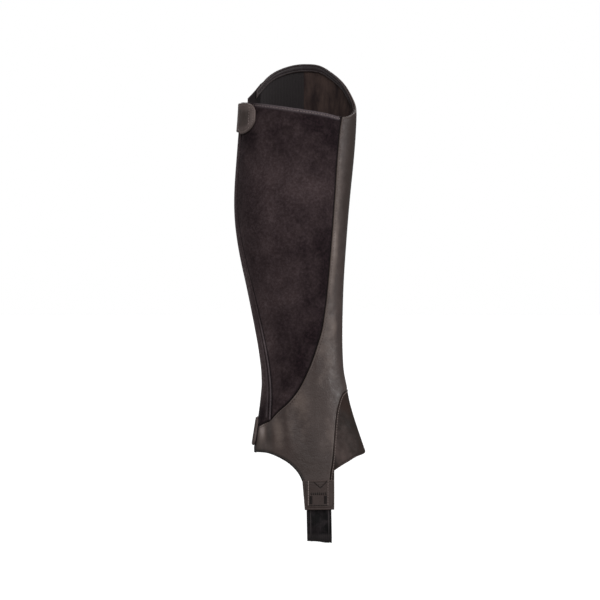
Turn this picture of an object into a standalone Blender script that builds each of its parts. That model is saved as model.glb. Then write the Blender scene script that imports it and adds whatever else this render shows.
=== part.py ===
"""One half chap for the left leg: a zipped leather gaiter that covers the calf over a short riding boot.

It stands in its worn, hollow form. The frame has +Z up, +X towards the toe, -Y on the inner side of the
leg, and its origin on the axis of the leg at the fullest part of the calf.

The panels are cut on a plane pattern whose two directions are the angle round the leg and the height. The
angle starts at the middle of the back, grows over the inner side to the shin, and goes on over the outer
side. Each outline is filled with triangles and laid on the form of the leg as a wall. Lengths below are in
millimetres.
"""

import math
from collections import namedtuple

import bmesh
import bpy
import numpy as np
from mathutils import Matrix, Vector
from mathutils.geometry import delaunay_2d_cdt

MM = 0.001
FULL_TURN = 2 * math.pi

# Form of the leg, at the outer face of the leather
Section = namedtuple("Section", "height back front half_width narrowing")
SECTIONS = (
    Section(150, -51.0, 66.0, 49.0, 0.08),
    Section(100, -53.1, 66.4, 50.5, 0.09),
    Section(60, -55.9, 64.7, 52.5, 0.10),
    Section(30, -58.2, 62.1, 53.8, 0.11),
    Section(0, -59.7, 59.2, 54.0, 0.12),
    Section(-30, -58.2, 56.8, 52.8, 0.12),
    Section(-60, -53.4, 54.7, 49.5, 0.12),
    Section(-95, -45.8, 52.8, 44.8, 0.12),
    Section(-130, -38.9, 52.0, 40.3, 0.11),
    Section(-165, -33.1, 52.7, 37.0, 0.10),
    Section(-195, -31.9, 57.0, 35.7, 0.12),
    Section(-225, -35.3, 64.8, 36.0, 0.17),
    Section(-258, -39.4, 76.1, 37.0, 0.20),
    Section(-320, -42.0, 92.0, 38.5, 0.20),
)

# Top edge: low on the inner side, raised into an arch on the outer side
TopPoint = namedtuple("TopPoint", "degrees height")
TOP_EDGE = (
    TopPoint(-14, 100), TopPoint(20, 99), TopPoint(45, 96.5), TopPoint(70, 93),
    TopPoint(97, 89), TopPoint(125, 85), TopPoint(141, 83), TopPoint(155, 85.5),
    TopPoint(170, 90), TopPoint(180, 94), TopPoint(190, 100.3), TopPoint(201, 108.5),
    TopPoint(214, 120.5), TopPoint(226, 130), TopPoint(238, 138), TopPoint(247, 143),
    TopPoint(258, 145), TopPoint(268, 145.2), TopPoint(277, 144), TopPoint(286, 141.5),
    TopPoint(296, 137.2), TopPoint(306, 130.5), TopPoint(318, 119), TopPoint(332, 108),
    TopPoint(346, 101),
)

# Seams and edges as they are seen from the side: distance forward, height
TAB_FOOT = -315.5
SidePoint = namedtuple("SidePoint", "forward height")
FRONT_SEAM = (
    SidePoint(-33.5, -232), SidePoint(-25, -226), SidePoint(-14, -216.5), SidePoint(-4.5, -208),
    SidePoint(5, -197), SidePoint(12, -185), SidePoint(21, -165), SidePoint(26.5, -149),
    SidePoint(31, -134), SidePoint(34, -116), SidePoint(36, -100), SidePoint(38, -80),
    SidePoint(40.2, -54), SidePoint(42.5, -25), SidePoint(44.5, 5), SidePoint(46, 30),
    SidePoint(47.6, 51), SidePoint(49.7, 72), SidePoint(51.7, 84),
)
STRETCH_SEAM = (
    SidePoint(-18, -230), SidePoint(0, -209), SidePoint(5, -196), SidePoint(8, -180),
    SidePoint(9.5, -160), SidePoint(10.5, -135), SidePoint(11, -90), SidePoint(11.5, -40),
    SidePoint(12, 20), SidePoint(12, 80), SidePoint(12, 145),
)
HEM = (
    SidePoint(-29, -258.6), SidePoint(-21, -260), SidePoint(-11.5, -264), SidePoint(-2.5, -269.5),
    SidePoint(5.3, -277.5), SidePoint(9.9, -286), SidePoint(11.9, -294), SidePoint(12.5, -303),
    SidePoint(12.8, TAB_FOOT),
)
INSTEP_SEAM = (
    SidePoint(38.3, TAB_FOOT), SidePoint(38.4, -296), SidePoint(38.8, -282), SidePoint(40.4, -272),
    SidePoint(41.7, -261), SidePoint(42.8, -248), SidePoint(43.8, -236), SidePoint(44.7, -225.5),
    SidePoint(46.3, -215), SidePoint(49.4, -204.5), SidePoint(53, -198),
)
INSTEP_TOP = -194.0
TONGUE_FRONT = 42.6
TONGUE_HEM = (SidePoint(43.6, -276.2), SidePoint(52, -271), SidePoint(60, -266.8), SidePoint(68, -262.6))
TONGUE_TIP = -259.0
HEEL_HEM = -259.0

# Back of the leg: distances along the surface from the middle of the back, towards the inner side
BackPoint = namedtuple("BackPoint", "height distance")
INNER_PLACKET = (
    BackPoint(-226, 31), BackPoint(-200, 28), BackPoint(-170, 25.5), BackPoint(-120, 25),
    BackPoint(-60, 23), BackPoint(0, 19.5), BackPoint(60, 19), BackPoint(99, 19),
)
OUTER_PLACKET = (
    BackPoint(-222, -50), BackPoint(-200, -48), BackPoint(-170, -46), BackPoint(-120, -45),
    BackPoint(-60, -45), BackPoint(0, -45), BackPoint(60, -45), BackPoint(102, -45),
)
ZIP_LINE = -20.0
ZIP_GAP = 10.6
HEEL_EDGE = 9.0
OUTER_HEEL_EDGE = -38.0
HEEL_EDGE_BEND = -240.0

# Walls: distances out from the face of the leather
LEATHER = 2.0
SUEDE_DROP = 0.7
STRETCH_DROP = 0.8
TONGUE_DROP = 0.5
SEAM_GAP = 0.36
LAY_GAP = 0.3
UNDER_GAP = 0.5

# Facing inside the top edge
FACING_DEPTH = 8.6
FACING_THICKNESS = 1.2

# Zip
TAPE_THICKNESS = 1.0
TAPE_WIDTH = 13.0
CHAIN_WIDTH = 5.4
CHAIN_THICKNESS = 2.4
CHAIN_DROP = 1.5
ZIP_TOP = 93.0
SLIDER_HEIGHT = 61.0
SLIDER_LENGTH = 12.0
SLIDER_WIDTH = 8.4
PLATE_THICKNESS = 1.2
PULL_LENGTH = 24.0
PULL_WIDTH = 6.4
PULL_THICKNESS = 1.2
PIN_RADIUS = 0.45
BOX_LENGTH = 9.0

# Tabs and strap
TAB_THICKNESS = 2.0
PATCH_THICKNESS = 1.5
PATCH_TOP = -285.5
STRAP_MIDDLE = 28.3
STRAP_WIDTH = 25.0
STRAP_THICKNESS = 1.5
STRAP_BOTTOM = -350.8
STRAP_BEND = 20.0
STRAP_TILT = 0.09
STRAP_LEAN = 0.7
STRAP_LAP = 27.0

# Triangle sizes
OUTLINE_STEP = 6.5
LATTICE_STEP = 8.5
LAYER_STEP = 4.5
LAYER_LATTICE = 6.0
PATTERN_RADIUS = 50.0

Finish = namedtuple("Finish", "name colour roughness metallic")
LEATHER_FINISH = Finish("smooth_leather", (0.072, 0.055, 0.050), 0.45, 0.0)
SUEDE_FINISH = Finish("suede", (0.028, 0.019, 0.021), 0.95, 0.0)
STRETCH_FINISH = Finish("stretch_fabric", (0.016, 0.015, 0.016), 0.85, 0.0)
ELASTIC_FINISH = Finish("elastic_webbing", (0.010, 0.010, 0.010), 0.8, 0.0)
ZIP_FINISH = Finish("zip_tape", (0.012, 0.011, 0.011), 0.8, 0.0)
METAL_FINISH = Finish("dark_metal", (0.10, 0.095, 0.09), 0.35, 1.0)


# Curves through tables

def natural_spline(xs, ys):
    """A smooth curve y(x) through points in rising order of x, with continuous bending."""
    xs = np.asarray(xs, float)
    ys = np.asarray(ys, float)
    steps = np.diff(xs)
    count = len(xs)
    system = np.eye(count)
    right = np.zeros(count)
    for i in range(1, count - 1):
        system[i, i - 1:i + 2] = steps[i - 1], 2 * (steps[i - 1] + steps[i]), steps[i]
        right[i] = 6 * ((ys[i + 1] - ys[i]) / steps[i] - (ys[i] - ys[i - 1]) / steps[i - 1])
    bend = np.linalg.solve(system, right)

    def value(x):
        x = min(max(float(x), xs[0]), xs[-1])
        i = min(int(np.searchsorted(xs, x, side="right")) - 1, count - 2)
        h = steps[i]
        left, rest = (xs[i + 1] - x) / h, (x - xs[i]) / h
        return (left * ys[i] + rest * ys[i + 1]
                + ((left ** 3 - left) * bend[i] + (rest ** 3 - rest) * bend[i + 1]) * h * h / 6)

    return value


def smooth_run(knots, step=OUTLINE_STEP):
    """A smooth line through knots on the pattern, with a point about every step."""
    knots = [np.array((angle * PATTERN_RADIUS, height)) for angle, height in knots]
    ends = [2 * knots[0] - knots[1], *knots, 2 * knots[-1] - knots[-2]]
    fine = []
    for before, start, end, after in zip(ends, ends[1:], ends[2:], ends[3:]):
        for t in np.linspace(0, 1, 12, endpoint=False):
            fine.append(0.5 * (2 * start + (end - before) * t
                               + (2 * before - 5 * start + 4 * end - after) * t ** 2
                               + (3 * start - before - 3 * end + after) * t ** 3))
    fine = np.array([*fine, knots[-1]])
    along = np.concatenate(([0], np.cumsum(np.linalg.norm(np.diff(fine, axis=0), axis=1))))
    count = max(1, round(along[-1] / step))
    places = np.linspace(0, along[-1], count + 1)
    return [(np.interp(p, along, fine[:, 0]) / PATTERN_RADIUS, np.interp(p, along, fine[:, 1]))
            for p in places]


# Form of the leg

HEIGHTS = [row.height for row in SECTIONS[::-1]]
back_line = natural_spline(HEIGHTS, [row.back for row in SECTIONS[::-1]])
front_line = natural_spline(HEIGHTS, [row.front for row in SECTIONS[::-1]])
half_width = natural_spline(HEIGHTS, [row.half_width for row in SECTIONS[::-1]])
narrowing = natural_spline(HEIGHTS, [row.narrowing for row in SECTIONS[::-1]])
top_height = natural_spline([p.degrees for p in TOP_EDGE], [p.height for p in TOP_EDGE])


def leg_point(angle, height):
    """The point of the leather's face at an angle from the middle of the back, in millimetres."""
    centre = (front_line(height) + back_line(height)) / 2
    depth = (front_line(height) - back_line(height)) / 2
    width = half_width(height) * (1 + narrowing(height) * math.cos(angle))
    return Vector((centre - depth * math.cos(angle), -width * math.sin(angle), height))


def leg_axes(angle, height):
    """Directions round the leg, up the leg and outwards at a point of its face."""
    d = 0.01
    around = (leg_point(angle + d, height) - leg_point(angle - d, height)).normalized()
    up = (leg_point(angle, height + 1) - leg_point(angle, height - 1)).normalized()
    outward = around.cross(up).normalized()
    return around, outward.cross(around), outward


def on_leg(angle, height, out):
    """A point a distance out from the leather's face, in metres."""
    return (leg_point(angle, height) + leg_axes(angle, height)[2] * out) * MM


def top_edge(angle):
    """Height of the top edge at an angle, which may lie just behind the start of the turn."""
    degrees = math.degrees(angle)
    return top_height(degrees - 360 if degrees > 346 else degrees)


def inner_side(forward, height):
    """Angle and height on the inner side of the leg of a point seen from the side."""
    centre = (front_line(height) + back_line(height)) / 2
    depth = (front_line(height) - back_line(height)) / 2
    return math.acos(max(-1.0, min(1.0, (centre - forward) / depth))), height


def outer_side(forward, height):
    return FULL_TURN - inner_side(forward, height)[0], height


def from_back(distance, height):
    """Angle and height at a distance along the surface from the middle of the back."""
    angles = np.linspace(0, math.pi / 2, 46)
    points = [leg_point(a, height) for a in angles]
    lengths = [0.0]
    for a, b in zip(points, points[1:]):
        lengths.append(lengths[-1] + (b - a).length)
    return math.copysign(np.interp(abs(distance), lengths, angles), distance), height


def from_back_outer(distance, height):
    """The same on the outer side, at the far end of the turn."""
    return FULL_TURN + from_back(distance, height)[0], height


def along_top(start, end):
    """The top edge between two angles."""
    count = max(1, round(abs(end - start) * PATTERN_RADIUS / OUTLINE_STEP))
    return [(a, top_edge(a)) for a in np.linspace(start, end, count + 1)]


def meet_top(place):
    """Moves a place on a seam's upper end to the top edge."""
    return place[0], top_edge(place[0])


def straight(start, end, step=OUTLINE_STEP):
    """A straight line on the pattern."""
    length = math.hypot((end[0] - start[0]) * PATTERN_RADIUS, end[1] - start[1])
    count = max(1, round(length / step))
    return [(start[0] + (end[0] - start[0]) * t, start[1] + (end[1] - start[1]) * t)
            for t in np.linspace(0, 1, count + 1)]


# Panels

def inset(outline, distance):
    """A closed outline drawn in by a distance on the pattern. It runs anticlockwise."""
    moved = []
    count = len(outline)
    for i in range(count):
        before, here, after = outline[i - 1], outline[i], outline[(i + 1) % count]
        first, second = here - before, after - here
        first = np.array((-first[1], first[0])) / np.linalg.norm(first)
        second = np.array((-second[1], second[0])) / np.linalg.norm(second)
        mitre = first + second
        moved.append(here + mitre * distance / max(0.5, 0.5 * mitre @ mitre))
    return np.array(moved)


def lattice(outline, spacing):
    """Places inside an outline in staggered rows, clear of its edge."""
    low, high = outline.min(axis=0), outline.max(axis=0)
    ends = np.roll(outline, -1, axis=0)
    sides = ends - outline
    found = []
    rows = np.arange(math.ceil(low[1] / spacing), math.floor(high[1] / spacing) + 1)
    for row in rows:
        height = row * spacing
        shift = spacing / 2 * (row % 2)
        first = math.ceil((low[0] - shift) / spacing)
        last = math.floor((high[0] - shift) / spacing)
        for column in range(first, last + 1):
            place = np.array((column * spacing + shift, height))
            share = ((place - outline) * sides).sum(axis=1) / (sides ** 2).sum(axis=1)
            nearest = outline + sides * np.clip(share, 0, 1)[:, None]
            if np.linalg.norm(nearest - place, axis=1).min() < spacing * 0.55:
                continue
            above = (outline[:, 1] > height) != (ends[:, 1] > height)
            crossing = outline[above, 0] + (height - outline[above, 1]) * sides[above, 0] / sides[above, 1]
            if (crossing > place[0]).sum() % 2:
                found.append(place)
    return found


def join_runs(*runs):
    """Runs joined end to end into one closed outline on the pattern, in millimetres."""
    places = []
    for run in runs:
        for angle, height in run:
            place = np.array((angle * PATTERN_RADIUS, height))
            if not places or np.linalg.norm(place - places[-1]) > 0.2:
                places.append(place)
    if np.linalg.norm(places[0] - places[-1]) < 0.2:
        places.pop()
    return np.array(places)


def finish_material(finish):
    material = bpy.data.materials.get(finish.name)
    if material:
        return material
    material = bpy.data.materials.new(finish.name)
    material.use_nodes = True
    shader = material.node_tree.nodes["Principled BSDF"]
    shader.inputs["Base Color"].default_value = (*finish.colour, 1)
    shader.inputs["Roughness"].default_value = finish.roughness
    shader.inputs["Metallic"].default_value = finish.metallic
    return material


def add_object(name, mesh, finish, parent=None):
    mesh.materials.append(finish_material(finish))
    mesh.shade_smooth()
    mesh.set_sharp_from_angle(angle=math.radians(35))
    piece = bpy.data.objects.new(name, mesh)
    bpy.context.scene.collection.objects.link(piece)
    piece.parent = parent
    return piece


def wall(name, outline, finish, outer, inner, gap=SEAM_GAP, spacing=LATTICE_STEP):
    """A panel: an outline on the pattern laid on the leg as a wall between two distances from its face."""
    edge = inset(outline, gap / 2)
    places = [Vector(p) for p in [*edge, *lattice(edge, spacing)]]
    sides = [(i, (i + 1) % len(edge)) for i in range(len(edge))]
    flat, _, triangles, *_ = delaunay_2d_cdt(places, sides, [], 1, 1e-4)
    outer_at = outer if callable(outer) else lambda angle, height: outer
    inner_at = inner if callable(inner) else lambda angle, height: inner
    built = bmesh.new()
    layers = [[], []]
    for place in flat:
        angle, height = place.x / PATTERN_RADIUS, place.y
        layers[0].append(built.verts.new(on_leg(angle, height, outer_at(angle, height))))
        layers[1].append(built.verts.new(on_leg(angle, height, inner_at(angle, height))))
    directed = set()
    for a, b, c in triangles:
        built.faces.new([layers[0][i] for i in (a, b, c)])
        built.faces.new([layers[1][i] for i in (c, b, a)])
        directed |= {(a, b), (b, c), (c, a)}
    for a, b in directed:
        if (b, a) not in directed:
            built.faces.new((layers[0][b], layers[0][a], layers[1][a], layers[1][b]))
    bmesh.ops.recalc_face_normals(built, faces=built.faces)
    mesh = bpy.data.meshes.new(name)
    built.to_mesh(mesh)
    built.free()
    return add_object(name, mesh, finish)


def back_run(low, high, distance, outer=False):
    """A line up the back at a distance from its middle, which may change with height."""
    place = from_back_outer if outer else from_back
    count = max(2, round((high - low) / OUTLINE_STEP))
    return [place(distance(h), h) for h in np.linspace(low, high, count + 1)]


def heel_run(distance, seam_end, outer=False):
    """The upright edge of the ankle leather above the heel, from the hem to the tail of its long seam."""
    place = from_back_outer if outer else from_back
    knots = [place(distance, HEEL_HEM), place(distance, -250.0), place(distance * 1.04, HEEL_EDGE_BEND)]
    return smooth_run([*knots, seam_end])


def shared_seams():
    """Every seam as one run of places, so that the panels on both sides follow the same points."""
    inner_knots = [from_back(p.distance, p.height) for p in INNER_PLACKET]
    outer_knots = [from_back_outer(p.distance, p.height) for p in OUTER_PLACKET]
    inner_tip, outer_tip = inner_knots[0], outer_knots[0]
    front_knots = [inner_side(p.forward, p.height) for p in FRONT_SEAM]
    stretch_knots = [outer_side(p.forward, p.height) for p in STRETCH_SEAM]
    inner_hem_knots = [from_back(HEEL_EDGE, HEEL_HEM), *[inner_side(p.forward, p.height) for p in HEM]]
    outer_hem_knots = [from_back_outer(OUTER_HEEL_EDGE, HEEL_HEM),
                       *[outer_side(p.forward, p.height) for p in HEM[1:]]]
    seams = {
        "inner_zip": back_run(HEEL_HEM, top_edge(0), lambda h: ZIP_LINE + ZIP_GAP / 2),
        "outer_zip": back_run(HEEL_HEM, top_edge(0), lambda h: ZIP_LINE - ZIP_GAP / 2, True),
        "inner_placket": smooth_run([*inner_knots[:-1], meet_top(inner_knots[-1])]),
        "outer_placket": smooth_run([*outer_knots[:-1], meet_top(outer_knots[-1])]),
        "front": smooth_run([inner_tip, *front_knots[2:-1], meet_top(front_knots[-1])]),
        "front_tail": smooth_run([front_knots[0], inner_tip]),
        "stretch": smooth_run([outer_tip, *stretch_knots[1:-1], meet_top(stretch_knots[-1])]),
        "stretch_tail": smooth_run([stretch_knots[0], outer_tip]),
        "inner_heel": heel_run(HEEL_EDGE, front_knots[0]),
        "outer_heel": heel_run(OUTER_HEEL_EDGE, stretch_knots[0], True),
        "inner_hem": smooth_run(inner_hem_knots),
        "outer_hem": smooth_run(outer_hem_knots),
    }
    for side, place in (("inner", inner_side), ("outer", outer_side)):
        upper = [place(p.forward, p.height) for p in INSTEP_SEAM]
        seams[f"{side}_instep"] = smooth_run([*upper, (math.pi, INSTEP_TOP)])
        hem = [place(p.forward, p.height) for p in TONGUE_HEM]
        seams[f"{side}_tongue_hem"] = smooth_run([*hem, (math.pi, TONGUE_TIP)])
    return seams


def back(run):
    return list(reversed(run))


def build_panels(seams):
    top_of = {name: run[-1][0] for name, run in seams.items()}
    wall("leather_panel", join_runs(
        seams["inner_hem"],
        straight(seams["inner_hem"][-1], seams["inner_instep"][0]), seams["inner_instep"],
        back(seams["outer_instep"]), straight(seams["outer_instep"][0], seams["outer_hem"][-1]),
        back(seams["outer_hem"]),
        seams["outer_heel"], seams["stretch_tail"], seams["stretch"],
        along_top(top_of["stretch"], top_of["front"]),
        back(seams["front"]), back(seams["front_tail"]), back(seams["inner_heel"])),
        LEATHER_FINISH, 0, -LEATHER)
    wall("suede_panel", join_runs(
        seams["front"], along_top(top_of["front"], top_of["inner_placket"]), back(seams["inner_placket"])),
        SUEDE_FINISH, -SUEDE_DROP, -LEATHER)
    wall("stretch_panel", join_runs(
        seams["outer_placket"], along_top(top_of["outer_placket"], top_of["stretch"]),
        back(seams["stretch"])),
        STRETCH_FINISH, -STRETCH_DROP, -LEATHER)
    wall("inner_placket", join_runs(
        straight(seams["inner_zip"][0], seams["inner_heel"][0]),
        seams["inner_heel"], seams["front_tail"], seams["inner_placket"],
        along_top(top_of["inner_placket"], top_of["inner_zip"]), back(seams["inner_zip"])),
        SUEDE_FINISH, 0, -LEATHER, spacing=LAYER_LATTICE)
    wall("outer_placket", join_runs(
        straight(seams["outer_heel"][0], seams["outer_zip"][0]),
        seams["outer_zip"], along_top(top_of["outer_zip"], top_of["outer_placket"]),
        back(seams["outer_placket"]), back(seams["stretch_tail"]), back(seams["outer_heel"])),
        SUEDE_FINISH, 0, -LEATHER, spacing=LAYER_LATTICE)
    inner_foot, outer_foot = inner_side(TONGUE_FRONT, TAB_FOOT), outer_side(TONGUE_FRONT, TAB_FOOT)
    wall("instep_tongue", join_runs(
        straight(seams["inner_instep"][0], inner_foot), straight(inner_foot, seams["inner_tongue_hem"][0]),
        seams["inner_tongue_hem"], back(seams["outer_tongue_hem"]),
        straight(seams["outer_tongue_hem"][0], outer_foot), straight(outer_foot, seams["outer_instep"][0]),
        seams["outer_instep"], back(seams["inner_instep"])),
        LEATHER_FINISH, -TONGUE_DROP, -LEATHER)


def build_facing(seams):
    """The band stitched inside the raised part of the top edge, from the shin seam to the outer zip tape."""
    start = seams["front"][-1][0]
    end = from_back_outer(ZIP_LINE - CHAIN_WIDTH / 2 - TAPE_WIDTH - 1, 102)[0]
    upper = along_top(end, start)
    lower = [(a, h - FACING_DEPTH) for a, h in back(upper)]
    face = -LEATHER - UNDER_GAP
    wall("top_facing", join_runs(lower, upper), LEATHER_FINISH, face, face - FACING_THICKNESS)


def build_tabs():
    """Closing tabs over the zip's two ends, and the patches over the strap's ends."""
    tab_face = LAY_GAP + TAB_THICKNESS
    top_root, top_end = from_back(-43.5, 84)[0], inner_side(-36.5, 82)[0]
    top_knots = [(0.25, 69.2), (top_end - 0.42, 66.2), (top_end - 0.2, 67), (top_end - 0.03, 74),
                 (top_end, 83), (top_end - 0.03, 91.5), (top_end - 0.16, 96), (top_end - 0.34, 97.2)]
    wall("top_tab", join_runs(
        straight((top_root, 71.5), top_knots[0]), smooth_run(top_knots),
        straight(top_knots[-1], (0.1, 99)), straight((0.1, 99), (top_root, 99.5)),
        straight((top_root, 99.5), (top_root, 71.5))),
        LEATHER_FINISH, tab_face, LAY_GAP, gap=0)

    heel_low, heel_high = -252.0, -223.5
    heel_root, heel_end = from_back(-50, -238)[0], from_back(11.5, -238)[0]

    def stand_off(height):
        """The heel tab stands further off the boot's heel at its lower edge."""
        return LAY_GAP + 0.65 * (heel_high - height) / (heel_high - heel_low)

    wall("heel_tab", join_runs(
        straight((heel_root, heel_low), (heel_end - 0.09, heel_low)),
        smooth_run([(heel_end - 0.09, heel_low), (heel_end - 0.02, heel_low + 3),
                    (heel_end, heel_low + 8)], 3),
        straight((heel_end, heel_low + 8), (heel_end, heel_high - 6)),
        smooth_run([(heel_end, heel_high - 6), (heel_end - 0.03, heel_high - 2),
                    (heel_end - 0.1, heel_high)], 3),
        straight((heel_end - 0.1, heel_high), (heel_root, heel_high)),
        straight((heel_root, heel_high), (heel_root, heel_low))),
        LEATHER_FINISH, lambda a, h: stand_off(h) + TAB_THICKNESS, lambda a, h: stand_off(h), gap=0)

    for name, place in (("inner_patch", inner_side), ("outer_patch", outer_side)):
        corners = [place(13.0, TAB_FOOT), place(TONGUE_FRONT, TAB_FOOT),
                   place(TONGUE_FRONT, PATCH_TOP), place(10.4, PATCH_TOP)]
        if place is outer_side:
            corners.reverse()
        runs = [straight(a, b, LAYER_STEP) for a, b in zip(corners, corners[1:] + corners[:1])]
        wall(name, join_runs(*runs), LEATHER_FINISH, LAY_GAP + PATCH_THICKNESS, LAY_GAP,
             gap=0, spacing=LAYER_LATTICE)


def strap_line(forward):
    """One lengthwise line of the strap: down the inner side, under the boot and up the outer side."""
    depth = -LEATHER - UNDER_GAP - STRAP_THICKNESS / 2
    side = [on_leg(*inner_side(forward, h), depth) / MM
            for h in np.linspace(TAB_FOOT + STRAP_LAP, TAB_FOOT, 5)]
    x, near, _ = side[-1]
    low = STRAP_BOTTOM + STRAP_THICKNESS / 2 - STRAP_TILT * (forward - STRAP_MIDDLE)
    for t in np.linspace(0, math.pi / 2, 8):
        height = low + STRAP_BEND * (1 - math.sin(t))
        lean = STRAP_LEAN * (TAB_FOOT - height) / (TAB_FOOT - low)
        side.append(Vector((x + lean, near + STRAP_BEND * (1 - math.cos(t)), height)))
    return [*side, Vector((x + STRAP_LEAN, 0, low)), *[Vector((p.x, -p.y, p.z)) for p in reversed(side)]]


def build_strap():
    """The elastic that passes under the boot, sewn inside both side tabs."""
    across = np.linspace(-STRAP_WIDTH / 2, STRAP_WIDTH / 2, 5)
    lines = [strap_line(STRAP_MIDDLE + x) for x in across]
    built = bmesh.new()
    rings = []
    for i in range(len(lines[0])):
        rows = [[], []]
        for line in lines:
            along = line[min(i + 1, len(line) - 1)] - line[max(i - 1, 0)]
            out = along.cross(Vector((1, 0, 0))).normalized() * STRAP_THICKNESS / 2
            rows[0].append(built.verts.new((line[i] + out) * MM))
            rows[1].append(built.verts.new((line[i] - out) * MM))
        rings.append(rows[0] + rows[1][::-1])
    for first, second in zip(rings, rings[1:]):
        for k in range(len(first)):
            after = (k + 1) % len(first)
            built.faces.new((first[k], first[after], second[after], second[k]))
    for end in (rings[0], rings[-1]):
        for k in range(len(across) - 1):
            built.faces.new((end[k], end[k + 1], end[-k - 2], end[-k - 1]))
    bmesh.ops.recalc_face_normals(built, faces=built.faces)
    mesh = bpy.data.meshes.new("elastic_strap")
    built.to_mesh(mesh)
    built.free()
    add_object("elastic_strap", mesh, ELASTIC_FINISH)


# Zip

def zip_strip(name, near, far, low, high, finish, outer, inner):
    """A strip that follows the zip line between two distances from it."""
    left, right = [back_run(low, high, lambda h, d=distance: ZIP_LINE + d) for distance in (near, far)]
    wall(name, join_runs(straight(left[0], right[0], LAYER_STEP), right,
                         straight(right[-1], left[-1], LAYER_STEP), back(left)),
         finish, outer, inner, gap=0, spacing=LAYER_LATTICE)


def zip_frame():
    """Placing of the slider: across the zip, up it, and outwards from the leather's face."""
    angle, _ = from_back(ZIP_LINE, SLIDER_HEIGHT)
    across, up, outward = leg_axes(angle, SLIDER_HEIGHT)
    placing = Matrix((across, up, outward)).transposed().to_4x4()
    placing.translation = on_leg(angle, SLIDER_HEIGHT, 0)
    return placing


def add_box(built, low, high):
    corners = [built.verts.new(Vector((x, y, z)) * MM)
               for x in (low[0], high[0]) for y in (low[1], high[1]) for z in (low[2], high[2])]
    for a, b, c, d in ((0, 1, 3, 2), (4, 6, 7, 5), (0, 4, 5, 1), (2, 3, 7, 6), (0, 2, 6, 4), (1, 5, 7, 3)):
        built.faces.new([corners[i] for i in (a, b, c, d)])


def box_object(name, boxes, finish, placing):
    """One solid made of boxes that overlap, joined by Boolean unions."""
    pieces = []
    for low, high in boxes:
        built = bmesh.new()
        add_box(built, low, high)
        bmesh.ops.recalc_face_normals(built, faces=built.faces)
        mesh = bpy.data.meshes.new(name)
        built.to_mesh(mesh)
        built.free()
        pieces.append(bpy.data.objects.new(name, mesh))
    whole = pieces[0]
    whole.data.materials.append(finish_material(finish))
    bpy.context.scene.collection.objects.link(whole)
    for other in pieces[1:]:
        bpy.context.scene.collection.objects.link(other)
        other.name = f"{name}_lump"
        other.hide_render = True
        other.display_type = "WIRE"
        other.matrix_world = placing
        union = whole.modifiers.new("join", "BOOLEAN")
        union.operation = "UNION"
        union.object = other
    whole.name = name
    whole.matrix_world = placing
    return whole


def build_zip():
    chain_top = -CHAIN_DROP
    tape_face = -LEATHER - UNDER_GAP
    half = CHAIN_WIDTH / 2
    zip_foot = HEEL_HEM + BOX_LENGTH + 0.6
    post_low = 1.5
    chain_end = SLIDER_HEIGHT + post_low - LAY_GAP
    zip_strip("zip_chain", -half, half, zip_foot, chain_end, ZIP_FINISH,
              chain_top, chain_top - CHAIN_THICKNESS)
    for name, side in (("inner_zip_tape", 1), ("outer_zip_tape", -1)):
        ends = sorted((side * (half + LAY_GAP), side * (half + TAPE_WIDTH)))
        zip_strip(name, *ends, HEEL_HEM, ZIP_TOP, ZIP_FINISH, tape_face, tape_face - TAPE_THICKNESS)

    placing = zip_frame()
    slider_half, half_length = SLIDER_WIDTH / 2, SLIDER_LENGTH / 2
    plate_low = chain_top + LAY_GAP
    plate_top = plate_low + PLATE_THICKNESS
    back_top = chain_top - CHAIN_THICKNESS - 0.5
    arch_low, arch_top, arch_half, arch_leg = plate_top + 2.0, plate_top + 2.9, 1.0, 1.0
    box_object("zip_slider", (
        ((-slider_half, -half_length, plate_low), (slider_half, half_length, plate_top)),
        ((-slider_half, -half_length, back_top - PLATE_THICKNESS), (slider_half, half_length, back_top)),
        ((-1.3, post_low, back_top - 0.5), (1.3, half_length - 0.8, plate_low + 0.5)),
        ((-arch_half, 3.6, plate_top - 0.4), (arch_half, 3.6 + arch_leg, arch_top)),
        ((-arch_half, -4.6, plate_top - 0.4), (arch_half, -4.6 + arch_leg, arch_top)),
        ((-arch_half, -4.6, arch_low), (arch_half, 3.6 + arch_leg, arch_top)),
    ), METAL_FINISH, placing)

    pin_height = plate_top + 1.15
    pin_place = 2.2
    hinge = placing @ Matrix.Translation(Vector((0, pin_place, pin_height)) * MM)
    arm_in, arm_out, half_thick = 1.5, PULL_WIDTH / 2, PULL_THICKNESS / 2
    window = 8.6
    box_object("pull_tab", (
        ((-arm_out, -PULL_LENGTH, -half_thick), (arm_out, -window, half_thick)),
        ((-arm_out, -window - 1, -half_thick), (-arm_in, half_thick, half_thick)),
        ((arm_in, -window - 1, -half_thick), (arm_out, half_thick, half_thick)),
        ((-arm_in - 0.5, -PIN_RADIUS, -PIN_RADIUS), (arm_in + 0.5, PIN_RADIUS, PIN_RADIUS)),
    ), METAL_FINISH, hinge)

    foot = HEEL_HEM + BOX_LENGTH / 2
    angle, _ = from_back(ZIP_LINE, foot)
    across, up, outward = leg_axes(angle, foot)
    at_foot = Matrix((across, up, outward)).transposed().to_4x4()
    at_foot.translation = on_leg(angle, foot, 0)
    box_object("zip_box", (
        ((-half + 0.5, -BOX_LENGTH / 2 + 0.4, tape_face - TAPE_THICKNESS - 0.4),
         (half - 0.5, BOX_LENGTH / 2, chain_top + 0.6)),
    ), METAL_FINISH, at_foot)
    return hinge


def main():
    for old in list(bpy.data.objects):
        bpy.data.objects.remove(old)
    seams = shared_seams()
    build_panels(seams)
    build_facing(seams)
    build_tabs()
    build_strap()
    build_zip()


main()
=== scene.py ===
"""The half chap as it looks: each piece of its pattern is cut again from its CAD wall, then shaped, stitched
and finished.

The CAD walls are read back as flat outlines round a smooth form of the leg. Every panel is then filled with a
finer net, given its turned edges, stitch grooves and creases, and laid on the form again. Lengths are in
millimetres until the last step, which turns them to metres.
"""

import math
from collections import namedtuple

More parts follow.
